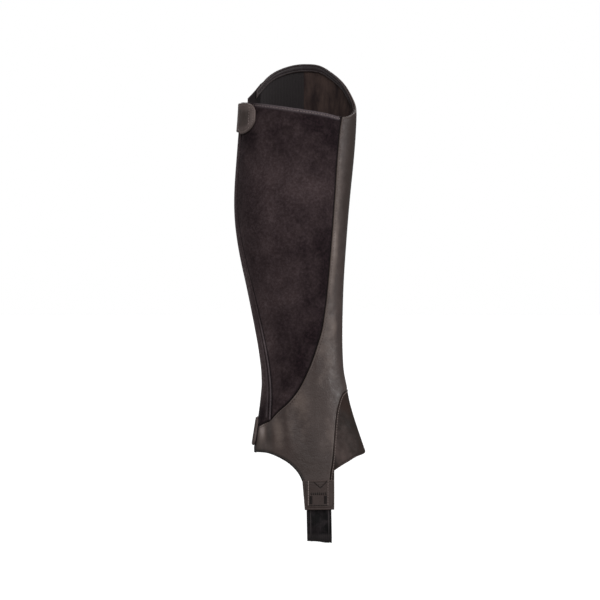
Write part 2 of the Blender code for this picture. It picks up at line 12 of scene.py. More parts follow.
import bmesh
import bpy
import numpy as np
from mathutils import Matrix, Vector
from mathutils.geometry import delaunay_2d_cdt


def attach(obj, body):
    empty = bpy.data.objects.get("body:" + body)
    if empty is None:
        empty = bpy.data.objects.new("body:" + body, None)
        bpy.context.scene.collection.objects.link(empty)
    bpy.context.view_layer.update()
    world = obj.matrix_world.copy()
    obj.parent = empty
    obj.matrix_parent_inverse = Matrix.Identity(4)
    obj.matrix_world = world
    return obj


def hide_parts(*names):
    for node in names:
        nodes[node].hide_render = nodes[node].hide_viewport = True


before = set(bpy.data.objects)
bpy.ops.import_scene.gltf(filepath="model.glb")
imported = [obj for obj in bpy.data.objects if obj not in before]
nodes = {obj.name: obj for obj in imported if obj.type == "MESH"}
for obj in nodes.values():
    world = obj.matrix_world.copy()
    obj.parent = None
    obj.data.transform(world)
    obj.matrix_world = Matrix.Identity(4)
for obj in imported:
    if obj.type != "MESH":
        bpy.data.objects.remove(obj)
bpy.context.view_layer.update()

MM = 0.001
FULL_TURN = 2 * math.pi

# A place on the pattern is the angle round the leg, as an arc of this radius, and the height
RING = 50.0
# What turns an angle into a distance across the real leg, for creases and rubbed marks
MEAN_RADIUS = 42.0

# Reading the CAD walls: how near two corners are one, in metres; how well the normals of one skin agree; and
# how far forward the middle of the leg lies, which tells an outer skin from an inner one
WELD = 1e-6
SAME_SKIN = 0.72
LEG_MIDDLE = 5

# Outlines: the cosine of the least turn that is a corner, and the parts of a curve between two points
CORNER_TURN = 0.82
CURVE_PARTS = 8

# Net of a panel: its outline, rows at distances from the edge, and a lattice of even triangles in the middle
OUTLINE_STEP = 2.0
EDGE_ROWS = (0.3, 0.8, 1.5, 2.1, 2.7, 3.6, 4.4, 5.2)
ROW_SLACK = 0.9
LATTICE_STEP = 3.6
LATTICE_ROW = LATTICE_STEP * 0.87
LATTICE_MARGIN = 1.2
CHUNK = 400

# How far a sewn-in edge runs on under its neighbour
TUCK = 0.5

# Rise of a panel's face over its distance from the edge: where it is stitched down, where it is sewn in under
# its neighbour, and where it is sewn in with a raised line of stitches beside the seam
Rise = namedtuple("Rise", "distance height")
STITCHED_EDGE = (Rise(0, -0.7), Rise(0.3, -0.25), Rise(0.8, 0.0), Rise(1.5, 0.06), Rise(2.1, -0.3),
                 Rise(2.7, 0.05), Rise(3.6, 0.06), Rise(6, 0))
TIGHT_EDGE = (Rise(0, -0.7), Rise(0.3, -0.25), Rise(0.8, 0.0), Rise(1.5, 0.05), Rise(2.1, -0.1),
              Rise(2.7, 0.04), Rise(3.6, 0.03), Rise(6, 0))
SEWN_IN_EDGE = (Rise(0, -0.5), Rise(0.8, -0.4), Rise(2.1, -0.18), Rise(3.6, -0.04), Rise(6, 0))
RIDGED_EDGE = (Rise(0, -0.6), Rise(0.3, -0.2), Rise(0.8, 0.05), Rise(1.5, 0.0), Rise(2.7, -0.35),
               Rise(3.6, 0.1), Rise(4.4, 0.22), Rise(5.2, 0.08), Rise(6.4, 0))
RAISED_SEAM = (Rise(0, -0.5), Rise(0.3, -0.3), Rise(0.8, 0.1), Rise(1.5, 0.45), Rise(2.1, 0.5),
               Rise(2.7, 0.4), Rise(3.6, 0.1), Rise(6, 0))

# How high the plackets' ridges stand over their height, and how flat the relief of a zip's woven edge is
PLACKET_RIDGE = ((-330, 1.7), (-152, 1.7), (-118, 0.15), (200, 0.15))
WOVEN_RELIEF = 0.2

# Creases rise to their full height over this distance from an edge, and a panel's back is rounded at its edge
CREASE_START = 6
BACK_ROUNDING = ((0, 0.8), (0.25, 0))

# How strongly a panel is rubbed paler at distances from its free edges, and below nought how much darker it is.
# The suede's top hem and the top tab's wide border are paler by rubbing and by a painted highlight on their
# turned and raised edges. On the plackets the ridges are paler by rubbing and by a painted highlight, and the
# stitch groove between them is painted shade
WORN_EDGE = ((0.3, 1.3), (1, 0))
WORN_HEM = ((0.3, 1.3), (0.45, 0))
TOP_HEM_WEAR_AND_HIGHLIGHT = ((0.3, 1.2, 2.8, 4.6), (0.45, 0.6, 0.5, 0))
BORDER_WEAR_AND_HIGHLIGHT = ((0.0, 1.0, 5.5, 6.5), (0.9, 0.55, 0.5, 0))
RIDGE_WEAR_HIGHLIGHT_AND_GROOVE_SHADE = ((0.3, 0.9, 1.6, 2.7, 3.4, 4.4, 5.8), (0.45, 0.2, -0.6, -0.9, 0.0, 0.4, 0))

# How the painted shade beside a sewn-in edge fades with the distance from it
SHADED = (1.0, 3.0)
SHADED_CLOSE = (0.2, 0.9)

# The leather's low edge is painted dark: below a height and behind a distance forward, how strongly, and how
# the paint fades with the distance from the edge
PAINTED_BELOW, PAINTED_BEHIND, PAINT = -243.0, 30.0, 0.85
PAINT_FADE = ((1.8, 3.8), (1, 0))

# Which edges are free. Above and below are heights, and an edge is level or upright by the upward part of its
# direction
TOP_EDGE_ABOVE, LEVEL = 78, 0.75
PLACKET_TOP_ABOVE, UPRIGHT = 90, 0.7
TONGUE_HEM_BELOW, TONGUE_HEM_FROM, TONGUE_TIP_BELOW = -259, 42.0, -314
TAB_ROOT = 24
# The leather's edge at the instep, which the tongue's stitches hold
INSTEP_EDGE = (-300, -190)
FACES_FORWARD = -0.3

# Stitching: how far a row lies in from a panel's edge and how far it rises, the least share of that distance at
# which a corner keeps its stitches, the same for the row beside the instep's seam, how far a row across a panel
# rises, and how far to each side of a stitch its direction is read
STITCH_INSET, STITCH_DEPTH = 2.1, -0.3
INSET_SLACK = 0.93
SEAM_INSET, SEAM_HEIGHT = TUCK + 1.5, 0.4
LINE_HEIGHT = 0.05
AHEAD = 0.6
# Steps of half a turn in which a place on the form is looked up
HALF_TURN_STEPS = 361
Stitch = namedtuple("Stitch", "pitch length radius")
PANEL_STITCH = Stitch(3.1, 2.3, 0.33)
TAB_STITCH = Stitch(2.6, 2.0, 0.36)
SEAM_STITCH = Stitch(2.6, 2.8, 0.42)
BOX_STITCH = Stitch(2.3, 2.6, 0.44)
DASH_STITCH = Stitch(3.2, 3.0, 0.55)
TACK_STITCH = Stitch(0.9, 3.5, 0.5)

# Lines of stitches across the top tab's end and at the join of the facing, from and to degrees and height
TAB_LINE = ((34.5, 93), (35.5, 74))
FACING_LINE = ((247, 138), (249, 132))

# A stitch, or a turn of the coil, is a rod of six sides. Its rings lie at shares of its length, and their
# radius and how far they rise are shares of its radius
ROD_SIDES = 6
RodRing = namedtuple("RodRing", "along radius rise")
ROD_RINGS = (RodRing(-0.5, 0.15, -0.55), RodRing(-0.41, 0.7, -0.2), RodRing(-0.2, 1, 0.25),
             RodRing(0.2, 1, 0.25), RodRing(0.41, 0.7, -0.2), RodRing(0.5, 0.15, -0.55))

# The box of stitches that holds the elastic in each strap tab: how far forward and how high its lines lie
BOX_BACK, BOX_FRONT, BOX_TOP, BOX_FOOT = 16.3, 35.5, -286.0, -311.0
BOX_POINTS = ((22.0, -287.6), (28.3, -293.2), (35.3, -286.0))
TACK_BACK, TACK_FRONT, TACK_TOP, TACK_FOOT = 19.0, 33.2, -301.2, -309.4
DASH_HEIGHT, DASH_LENGTH, DASHES = -297.6, 3.2, 8
DASH_BACK, DASH_FRONT = BOX_BACK + 3, BOX_FRONT - 2

# Zip coil: its turns lean, and lie this share of their length off the middle
COIL_PITCH, COIL_LENGTH, COIL_RADIUS = 1.6, 2.9, 0.5
COIL_LEAN, COIL_OFFSET = 0.12, 0.28
# How far the chain's strip is sunk under it, how far it ends before the strip's ends, and over what height and
# how many turns to each side the strip's middle is read
COIL_ROOM = COIL_RADIUS * 1.6
COIL_END, COIL_BAND, COIL_EVENED = 1, 3, 4

# Elastic: its net, which reaches a little past the rear edge; the share of its half width past which a point
# lies on an edge; its ribs; the groove beside each selvedge; its puckers; and how far each skin is drawn in
STRAP_ROWS, STRAP_LINES, STRAP_REACH = 150, 61, 1.035
EDGE_SHARE = 0.75
RIB_PITCH, RIB_HEIGHT, RIB_FADE, SELVEDGE = 2.1, 0.08, 0.4, 2.2
GROOVE_DEPTH, GROOVE_WIDTH = 0.35, 0.35
PUCKER, FACE_SUNK, BACK_SUNK = 0.3, 0.15, 0.2

# Rounded edges of the hard pieces
BEVEL, BEVEL_PARTS = 0.25, 3

# The paper under the garment, in metres
FLOOR_HEIGHT, FLOOR_HALF = -0.42, 40

# Soft creases: where they lie, how long and how wide they are, how they lean, and how far they rise or sink
Crease = namedtuple("Crease", "degrees height half_length half_width lean rise")
CREASES = (
    Crease(22, -233, 14, 3.2, 0.0, -1.1), Crease(35, -236, 20, 4.0, 0.0, 0.9),
    Crease(47, -238, 17, 3.6, 0.05, -0.7), Crease(56, -235, 24, 4.5, -0.05, 0.6),
    Crease(74, -226, 38, 7.0, -0.10, -0.8), Crease(95, -206, 46, 8.0, -0.05, 0.9),
    Crease(112, -236, 30, 6.0, 0.08, -0.5), Crease(149, -129, 13, 5.0, 0.0, 0.7),
    Crease(126, -170, 40, 7.0, 0.0, -0.5), Crease(160, -186, 20, 12.0, 0.2, -0.3),
    Crease(176, -176, 10, 30.0, 0.0, -0.35), Crease(186, -196, 8, 28.0, 0.0, 0.3),
    Crease(206, -182, 30, 9.0, -0.15, 0.8), Crease(226, -212, 40, 8.0, 0.10, -0.9),
    Crease(247, -190, 50, 9.0, 0.06, 0.9), Crease(262, -238, 26, 5.0, -0.05, -0.8),
    Crease(279, -232, 30, 6.0, -0.08, 0.8), Crease(291, -240, 16, 4.0, 0.0, -0.7),
    Crease(303, -228, 22, 6.0, 0.1, 0.7), Crease(322, -234, 16, 4.0, 0.0, -0.9),
    Crease(14, -190, 7, 16.0, 0.0, -0.5), Crease(338, -176, 7, 17.0, 0.0, -0.7),
    Crease(330, -150, 8, 15.0, 0.0, -0.5), Crease(75, -120, 60, 16.0, 0.05, 0.5),
    Crease(60, 20, 80, 22.0, 0.03, 0.6), Crease(105, 40, 60, 20.0, -0.04, -0.5),
    Crease(180, 60, 100, 22.0, 0.0, 0.45), Crease(250, 30, 90, 26.0, 0.02, 0.7),
    Crease(288, -20, 70, 20.0, -0.05, -0.7),
    Crease(300, 60, 50, 16.0, 0.04, 0.6), Crease(214, -40, 90, 16.0, 0.03, -0.5),
)

# Where a hide lies paler, above nought, or darker, below it. Some strokes are the stroked nap of the suede and
# the spots of rubbing and of wax on the smooth leather; many are painted light: painted highlights, such as the
# bright spot at the heel, spots beside the front seam and a pale rim up the back of the calf, and painted
# shade, such as under the top tab, at the placket's foot and along the front of the calf
Stroke = namedtuple("Stroke", "degrees height half_across half_up tone")
RUBS_AND_PAINTED_LIGHT = (
    Stroke(21, -236, 4.5, 9, 3.0), Stroke(34, -238, 3.0, 12, -1.2), Stroke(45, -236, 3.8, 16, 0.9),
    Stroke(62, -232, 4.5, 20, 0.2), Stroke(74, -228, 4.5, 22, 0.15),
    Stroke(104, -204, 5.0, 30, -0.35), Stroke(90, -276, 22, 16, -0.45), Stroke(129, -254, 4.0, 14, 0.35),
    Stroke(149, -129, 5.0, 11, 0.75), Stroke(147, 20, 3.8, 75, 0.75), Stroke(146, -50, 4.0, 26, 1.3),
    Stroke(137, -142, 12, 34, 0.45), Stroke(162, 60, 8, 60, -0.6), Stroke(176, 60, 9, 56, -1.2),
    Stroke(172, -60, 14, 90, -0.6), Stroke(158, -206, 12, 14, -0.8), Stroke(146, 50, 8, 40, -0.3),
    Stroke(165, -215, 8, 9, -0.6), Stroke(142, -256, 14, 30, 0.35), Stroke(138, -263, 8, 9, 0.65),
    Stroke(174, -250, 6, 18, -0.4), Stroke(22, 84, 7, 18, -0.35), Stroke(10, 84, 4, 18, 0.9),
    Stroke(40, 82, 4, 14, 0.2),
    Stroke(20, -252, 8, 6, 0.4), Stroke(120, -262, 10, 8, -0.3), Stroke(230, -210, 8, 34, 0.35),
    Stroke(252, -236, 6, 20, -0.35), Stroke(285, -238, 6, 18, 0.4), Stroke(318, -236, 4, 12, 0.6),
    Stroke(205, -120, 9, 40, 0.15), Stroke(224, 20, 14, 60, 0.1), Stroke(240, 96, 16, 16, -0.15),
    Stroke(1, -236, 7, 16, -0.6), Stroke(82, -206, 10, 12, 0.8), Stroke(70, -264, 9, 14, -0.5),
    Stroke(164, 6, 6, 26, -0.5), Stroke(143, -88, 4, 10, 0.7), Stroke(168, -8, 6, 16, -0.8),
    Stroke(158, 70, 8, 12, -0.5), Stroke(4, -222, 6, 8, -0.8),
)
NAP_AND_PAINTED_LIGHT = (
    Stroke(67, 21, 12, 20, 0.9), Stroke(117, 10, 15, 13, 0.9), Stroke(90, 2, 14, 12, 0.4),
    Stroke(68, -26, 7, 22, 0.6), Stroke(31, -33, 8, 9, 0.5), Stroke(62, -82, 8, 32, 0.5),
    Stroke(84, -100, 14, 8, 0.6), Stroke(30, -134, 8, 26, 0.6), Stroke(22, -180, 8, 26, 0.5),
    Stroke(132, -93, 9, 38, -0.8), Stroke(96, -149, 12, 28, -0.7), Stroke(89, -175, 10, 16, -0.8),
    Stroke(38, 62, 9, 10, -0.8), Stroke(123, 57, 15, 26, -0.45), Stroke(78, 67, 16, 10, -0.3),
    Stroke(100, -41, 18, 18, -0.35), Stroke(-25, -60, 8, 40, 0.5), Stroke(-30, 30, 7, 30, -0.5),
    Stroke(-20, -160, 7, 34, 0.5), Stroke(118, 70, 22, 40, -0.35), Stroke(126, -50, 14, 60, -0.5),
    Stroke(75, 95, 40, 14, -0.8), Stroke(140, 62, 8, 30, -0.9), Stroke(140, -52, 7, 24, -0.8),
    Stroke(9, -122, 6.5, 48, 2.2), Stroke(15, -176, 9, 40, 1.5), Stroke(24, 58, 8, 7, -0.9),
    Stroke(12, -60, 10, 60, 0.3), Stroke(18, -76, 8, 30, 2.0),
    Stroke(44, -101, 10, 15, 1.1), Stroke(34, -148, 11, 15, 1.3), Stroke(116, -142, 8, 12, -1.0),
    Stroke(110, -103, 9, 10, -0.7), Stroke(56, -190, 7, 10, -0.8), Stroke(14, 42, 5, 26, 0.8),
    Stroke(10, -4, 6, 44, 1.2), Stroke(12, -222, 8, 10, -2.6), Stroke(30, -212, 8, 8, -0.9),
    Stroke(62, -52, 5, 8, 0.9), Stroke(46, -144, 7, 24, 0.8), Stroke(66, -187, 8, 8, -0.7),
)

# Where the suede's pale hem is left out beside the top tab, so that it lies dark there: painted shadow of the
# tab
TAB_SHADOW = Stroke(33, 98, 9, 12, 0.95)


# Reading the CAD walls

def smooth_group(first, seen):
    """The faces that can be reached from one face with no sharp edge between."""
    group, waiting = [], [first]
    seen.add(first)
    while waiting:
        face = waiting.pop()
        group.append(face)
        for edge in face.edges:
            for other in edge.link_faces:
                if other not in seen and other.normal.dot(face.normal) > SAME_SKIN:
                    seen.add(other)
                    waiting.append(other)
    return group


def rim_in_order(built, faces):
    """The corners round a group of faces."""
    rim = [e for e in built.edges if sum(face in faces for face in e.link_faces) == 1]
    after = {}
    for edge in rim:
        start, end = edge.verts
        after.setdefault(start, []).append(end)
        after.setdefault(end, []).append(start)
    loop = [rim[0].verts[0]]
    before = None
    while True:
        step = [v for v in after[loop[-1]] if v is not before]
        before = loop[-1]
        if step[0] is loop[0]:
            return loop
        loop.append(step[0])


def wall_skins(node):
    """The outer and the inner skin of a CAD wall: the points, the outline in order and the area of each."""
    built = bmesh.new()
    built.from_mesh(nodes[node].data)
    bmesh.ops.remove_doubles(built, verts=built.verts, dist=WELD)
    groups, seen = [], set()
    for first in built.faces:
        if first not in seen:
            groups.append(smooth_group(first, seen))
    groups.sort(key=lambda group: -sum(face.calc_area() for face in group))
    skins = []
    for group in groups[:2]:
        rim = rim_in_order(built, set(group))
        points = np.array([v.co / MM for v in {v for face in group for v in face.verts}])
        area = sum(face.calc_area() for face in group)
        skins.append((points, np.array([v.co / MM for v in rim]), area))
    built.free()
    skins.sort(key=lambda skin: -np.hypot(skin[0][:, 0] - LEG_MIDDLE, skin[0][:, 1]).mean())
    return skins


class Leg:
    """The garment's inner face as one smooth form, fitted to the inner skins of its panels."""

    KNOT_STEP = 25.0
    KNOTS = np.arange(-365.0, 200.0, KNOT_STEP)
    WAVES = np.arange(9)
    STIFFNESS = 0.05 + 0.02 * WAVES ** 2
    SLABS, SLAB_HALF = range(-245, 95, 17), 12
    ANGLE_STEP, HEIGHT_STEP = 0.01, 0.5

    def __init__(self, points):
        slabs = [(h, points[abs(points[:, 2] - h) < self.SLAB_HALF, 0]) for h in self.SLABS]
        self.axis = np.polyfit([h for h, _ in slabs], [(x.min() + x.max()) / 2 for _, x in slabs], 2)
        angle, height, radius = self.polar(points)
        terms = self.terms(angle, height)
        smooth = np.kron(np.diff(np.eye(len(self.KNOTS)), 2, axis=0), np.diag(self.STIFFNESS))
        wanted = np.concatenate((radius, np.zeros(len(smooth))))
        self.weights = np.linalg.lstsq(np.vstack((terms, smooth)), wanted, rcond=None)[0]

    def polar(self, points):
        """Angle, height and distance of points from the axis of the leg."""
        away = points[:, 0] - np.polyval(self.axis, points[:, 2])
        return np.arctan2(-points[:, 1], -away), points[:, 2], np.hypot(away, points[:, 1])

    def terms(self, angle, height):
        """The shares of the form's weights at places: a cubic spline up the leg by even waves round it."""
        t = abs((height[:, None] - self.KNOTS) / self.KNOT_STEP)
        share = np.where(t < 1, 2 / 3 - t ** 2 + t ** 3 / 2, np.where(t < 2, (2 - t) ** 3 / 6, 0))
        waves = np.cos(angle[:, None] * self.WAVES)
        return (share[:, :, None] * waves[:, None, :]).reshape(len(angle), -1)

    def bare(self, angle, height):
        """Points of the form itself."""
        radius = self.terms(angle, height) @ self.weights
        forward = np.polyval(self.axis, height) - radius * np.cos(angle)
        return np.stack((forward, -radius * np.sin(angle), height), axis=1)

    def outward(self, angle, height):
        """Directions out of the form."""
        around = self.bare(angle + self.ANGLE_STEP, height) - self.bare(angle - self.ANGLE_STEP, height)
        up = self.bare(angle, height + self.HEIGHT_STEP) - self.bare(angle, height - self.HEIGHT_STEP)
        out = np.cross(around, up)
        return out / np.linalg.norm(out, axis=1)[:, None]

    def point(self, places, out=0.0):
        """Points over places on the pattern, a distance out from the form."""
        angle, height = places[:, 0] / RING, places[:, 1]
        out = np.broadcast_to(out, len(places))
        return self.bare(angle, height) + self.outward(angle, height) * out[:, None]

    def place(self, points, near=None):
        """Places on the pattern of points near the form, on the same turn round it as the places near them."""
        angle, height, _ = self.polar(points)
        for _ in range(3):
            found = self.point(np.stack((angle * RING, height), axis=1), self.rise(points, angle, height))
            angle = angle + self.polar(points)[0] - self.polar(found)[0]
            height = height + points[:, 2] - found[:, 2]
        if near is None:
            return np.stack((np.unwrap(angle) * RING, height), axis=1)
        turns = np.round((near[:, 0] / RING - angle) / FULL_TURN)
        return np.stack(((angle + turns * FULL_TURN) * RING, height), axis=1)

    def rise(self, points, angle, height):
        """How far out from the form points lie."""
        return ((points - self.bare(angle, height)) * self.outward(angle, height)).sum(axis=1)


PANELS = ("leather_panel", "suede_panel", "stretch_panel", "inner_placket", "outer_placket", "instep_tongue")
LAYERS = ("top_tab", "heel_tab", "inner_patch", "outer_patch", "inner_zip_tape", "outer_zip_tape", "zip_chain")
leg = Leg(np.concatenate([wall_skins(node)[1][0] for node in PANELS]))


# Cutting a panel again

# The outline of a panel, which of its points are free edges, the levels of its good face and of its back over
# the leg's form, its area, and its good side: 1 outwards, -1 inwards
Cut = namedtuple("Cut", "outline free face back area side")


def lengths_along(line):
    """How far along a line each of its points lies."""
    return np.concatenate(([0], np.cumsum(np.linalg.norm(np.diff(line, axis=0), axis=1))))


def read_along(values, along, at):
    """Values given at points along a line, read at other lengths along it."""
    return np.stack([np.interp(at, along, column) for column in values.T], axis=1)


def finer(outline, step):
    """A closed outline with rounder runs between its corners and a point about every step."""
    count = len(outline)
    ahead = np.roll(outline, -1, axis=0) - outline
    behind = np.roll(ahead, 1, axis=0)
    turn = (ahead * behind).sum(axis=1) / np.linalg.norm(ahead, axis=1) / np.linalg.norm(behind, axis=1)
    corners = [i for i in range(count) if turn[i] < CORNER_TURN] or [0]
    out = []
    for first, last in zip(corners, corners[1:] + [corners[0] + count]):
        knots = outline[np.arange(first, last + 1) % count]
        ends = np.vstack((2 * knots[0] - knots[1], knots, 2 * knots[-1] - knots[-2]))
        run = []
        for before, start, end, after in zip(ends, ends[1:], ends[2:], ends[3:]):
            t = np.linspace(0, 1, CURVE_PARTS, endpoint=False)[:, None]
            run.append(start + 0.5 * ((end - before) * t + (2 * before - 5 * start + 4 * end - after) * t ** 2
                                      + (3 * start - before - 3 * end + after) * t ** 3))
        run = np.vstack((*run, knots[-1:]))
        along = lengths_along(run)
        places = np.linspace(0, along[-1], max(1, round(along[-1] / step)) + 1)[:-1]
        out.append(read_along(run, along, places))
    return np.vstack(out)


def read_cut(node, free=None, side=1):
    """A CAD wall as its outline on the pattern, with the levels of its face and back over the form."""
    skins = wall_skins(node)[::side]
    _, rim, area = skins[0]
    levels = []
    for points, _, _ in skins:
        points = points[np.argsort(points[:, 2])]
        places = leg.place(points)
        rise = leg.rise(points, places[:, 0] / RING, places[:, 1])
        levels.append(np.polyfit(places[:, 1], rise, 1))
    flat = leg.place(rim)
    if np.cross(flat, np.roll(flat, -1, axis=0)).sum() < 0:
        flat = flat[::-1]
    outline = finer(flat, OUTLINE_STEP)
    points = leg.point(outline, np.polyval(levels[0], outline[:, 1]))
    along = np.roll(points, -1, axis=0) - np.roll(points, 1, axis=0)
    along /= np.linalg.norm(along, axis=1)[:, None]
    loose = np.ones(len(outline), bool) if free is None else free(points, along)
    outline = leg.place(points - inward(points, outline) * np.where(loose, 0, TUCK)[:, None], outline)
    return Cut(outline, loose, levels[0], levels[1], area, side)


def on_face(cut, places, rise=0.0):
    """Points over places of the pattern on a panel's good face, or a little out of it."""
    return leg.point(places, np.polyval(cut.face, places[:, 1]) + cut.side * rise)


def out_of_face(cut, places):
    """Directions out of a panel's good face."""
    return leg.outward(places[:, 0] / RING, places[:, 1]) * cut.side


def inward(points, outline):
    """Directions into a panel from the points of its outline."""
    ahead = np.roll(points, -1, axis=0) - points
    ahead /= np.linalg.norm(ahead, axis=1)[:, None]
    out = leg.outward(outline[:, 0] / RING, outline[:, 1])
    first, second = np.cross(out, np.roll(ahead, 1, axis=0)), np.cross(out, ahead)
    mitre = first + second
    return mitre / np.maximum(0.5, 0.5 * (mitre ** 2).sum(axis=1))[:, None]


def from_edge(points, rim):
    """Distance of points from a panel's edge, and the nearest point of the edge."""
    start, side = rim, np.roll(rim, -1, axis=0) - rim
    reach, nearest = [], []
    for chunk in np.array_split(points, max(1, len(points) // CHUNK)):
        gap = chunk[:, None] - start
        share = np.clip((gap * side).sum(axis=2) / (side ** 2).sum(axis=1), 0, 1)
        away = np.linalg.norm(gap - share[:, :, None] * side, axis=2)
        nearest.append(away.argmin(axis=1))
        reach.append(away.min(axis=1))
    return np.concatenate(reach), np.concatenate(nearest)


def inside(places, outline):
    """Which places lie inside an outline on the pattern."""
    x, y = places[:, 0][:, None], places[:, 1][:, None]
    ends = np.roll(outline, -1, axis=0)
    crossed = (outline[:, 1] > y) != (ends[:, 1] > y)
    rise = np.where(ends[:, 1] == outline[:, 1], 1, ends[:, 1] - outline[:, 1])
    at = outline[:, 0] + (y - outline[:, 1]) * (ends[:, 0] - outline[:, 0]) / rise
    return ((crossed & (at > x)).sum(axis=1) % 2).astype(bool)


def spread(places, degrees, height, half_across, half_up, lean=0.0):
    """1 at a spot of the pattern, falling softly to 0 round it."""
    turn = (places[:, 0] / RING - math.radians(degrees) + math.pi) % FULL_TURN - math.pi
    up = places[:, 1] - height
    across = turn * MEAN_RADIUS - up * lean
    return np.exp(-(across / half_across) ** 2 - (up / half_up) ** 2)


def crease_rise(places):
    """The soft troughs and ridges of worn leather."""
    return sum(c.rise * spread(places, c.degrees, c.height, c.half_width, c.half_length, c.lean)
               for c in CREASES)


def tone_and_painted_light(places, strokes):
    """How much paler or darker a hide lies, painted highlights and painted shade among it."""
    return sum(s.tone * spread(places, s.degrees, s.height, s.half_across, s.half_up) for s in strokes)


def profile(distance, rises):
    """The rise of a face at distances from its edge."""
    return np.interp(distance, [r.distance for r in rises], [r.height for r in rises])


def panel_net(cut, rim):
    """A panel's places on the pattern and the triangles between them: rows beside its edge, a lattice in it."""
    into = inward(rim, cut.outline)
    rows = np.concatenate([rim + into * distance for distance in EDGE_ROWS])
    wanted = np.repeat(EDGE_ROWS, len(rim))
    low, high = cut.outline.min(axis=0), cut.outline.max(axis=0)
    across, up = np.meshgrid(np.arange(low[0], high[0], LATTICE_STEP), np.arange(low[1], high[1], LATTICE_ROW))
    across = across + (np.arange(len(across)) % 2)[:, None] * LATTICE_STEP / 2
    lattice = np.stack((across.ravel(), up.ravel()), axis=1)
    lattice = lattice[inside(lattice, cut.outline)]
    reach, _ = from_edge(on_face(cut, lattice), rim)
    lattice = lattice[reach > EDGE_ROWS[-1] + LATTICE_MARGIN]
    reach, _ = from_edge(rows, rim)
    row_places = leg.place(rows, np.tile(cut.outline, (len(EDGE_ROWS), 1)))
    kept = (reach > wanted * ROW_SLACK) & inside(row_places, cut.outline)
    places = np.vstack((cut.outline, row_places[kept], lattice))
    sides = [(i, (i + 1) % len(cut.outline)) for i in range(len(cut.outline))]
    flat, _, triangles, *_ = delaunay_2d_cdt([Vector(p) for p in places], sides, [], 1, 1e-4)
    return np.array([tuple(p) for p in flat]), np.array(triangles)[:, ::cut.side]


def shell_faces(triangles, count):
    """The faces of a closed shell: its good side, its back and the quads round its edge."""
    directed = {(int(a), int(b)) for t in triangles for a, b in ((t[0], t[1]), (t[1], t[2]), (t[2], t[0]))}
    edges = [(a, b) for a, b in sorted(directed) if (b, a) not in directed]
    return [*triangles.tolist(), *(triangles[:, ::-1] + count).tolist(),
            *[(b, a, a + count, b + count) for a, b in edges]]


def mark_points(mesh, marks):
    """Numbers at a mesh's points, by name, that its finish reads."""
    for title, amount in marks.items():
        mark = mesh.attributes.new(title, "FLOAT", "POINT")
        mark.data.foreach_set("value", amount.astype(np.float32))


def panel(name, cut, face_finish, back_finish, creased=1.0, relief=1.0, sewn_in=SEWN_IN_EDGE, rubbed=WORN_EDGE,
          stitched=STITCHED_EDGE, shaded=SHADED, painted=False):
    """A panel with its edges and creases: a closed shell laid on the form. The relief of its edges is one
    number, or a number for each of some heights. Its low edge may be painted dark."""
    rim = on_face(cut, cut.outline)
    flat, triangles = panel_net(cut, rim)
    distance, nearest = from_edge(on_face(cut, flat), rim)
    free = cut.free[nearest]
    ridge = np.interp(flat[:, 1], *zip(*relief)) if isinstance(relief, tuple) else relief
    rise = np.where(free, ridge * profile(distance, stitched), profile(distance, sewn_in))
    rise = rise + creased * crease_rise(flat) * np.clip(distance / CREASE_START, 0, 1)
    face = on_face(cut, flat, rise)
    back_level = np.polyval(cut.back, flat[:, 1]) + cut.side * np.interp(distance, *BACK_ROUNDING)
    faces = shell_faces(triangles, len(flat))
    mesh = bpy.data.meshes.new(name)
    mesh.from_pydata((np.vstack((face, leg.point(flat, back_level))) * MM).tolist(), [], faces)
    for finish in (face_finish, back_finish):
        mesh.materials.append(finish)
    back_faces = np.zeros(len(faces), np.int32)
    back_faces[len(triangles):2 * len(triangles)] = 1
    mesh.polygons.foreach_set("material_index", back_faces)
    # Paler by rubbing on free edges, and also by a painted highlight on the top hem, the tab's border and the
    # placket ridges; below nought the rubs turn into painted shade
    rubs = np.minimum(ridge, 1) * np.interp(distance, *rubbed)
    wear_and_highlight = np.where(free, np.maximum(0, rubs), 0)
    # Painted shade beside a sewn-in edge, where the neighbour's edge would shade it, and in the plackets'
    # stitch groove
    shade = np.where(free, np.maximum(0, -rubs), np.interp(distance, shaded, (1, 0)))
    # The tone from listed strokes holds real nap and rubbing, and painted highlights and painted shade
    tone = tone_and_painted_light(flat, NAP_AND_PAINTED_LIGHT if face_finish is calf_suede else RUBS_AND_PAINTED_LIGHT)
    # Painted shadow of the top tab: the pale hem is left out beside it
    if face_finish is calf_suede:
        wear_and_highlight *= 1 - tone_and_painted_light(flat, (TAB_SHADOW,))
    if painted:
        low_edge = free & (flat[:, 1] < PAINTED_BELOW) & (face[:, 0] < PAINTED_BEHIND)
        wear_and_highlight[low_edge] = 0
        shade[low_edge] = PAINT * np.interp(distance[low_edge], *PAINT_FADE)
    mark_points(mesh, {"wear_and_highlight": np.tile(wear_and_highlight, 2), "shade": np.tile(shade, 2), "tone": np.tile(tone, 2)})
    mesh.shade_smooth()
    mesh.set_sharp_from_angle(angle=math.radians(50))
    mesh.validate()
    return place_piece(name, mesh)


def place_piece(name, mesh):
    """A piece of the scene that rides on the garment's body."""
    piece = bpy.data.objects.new(name, mesh)
    bpy.context.scene.collection.objects.link(piece)
    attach(piece, "garment")
    return piece


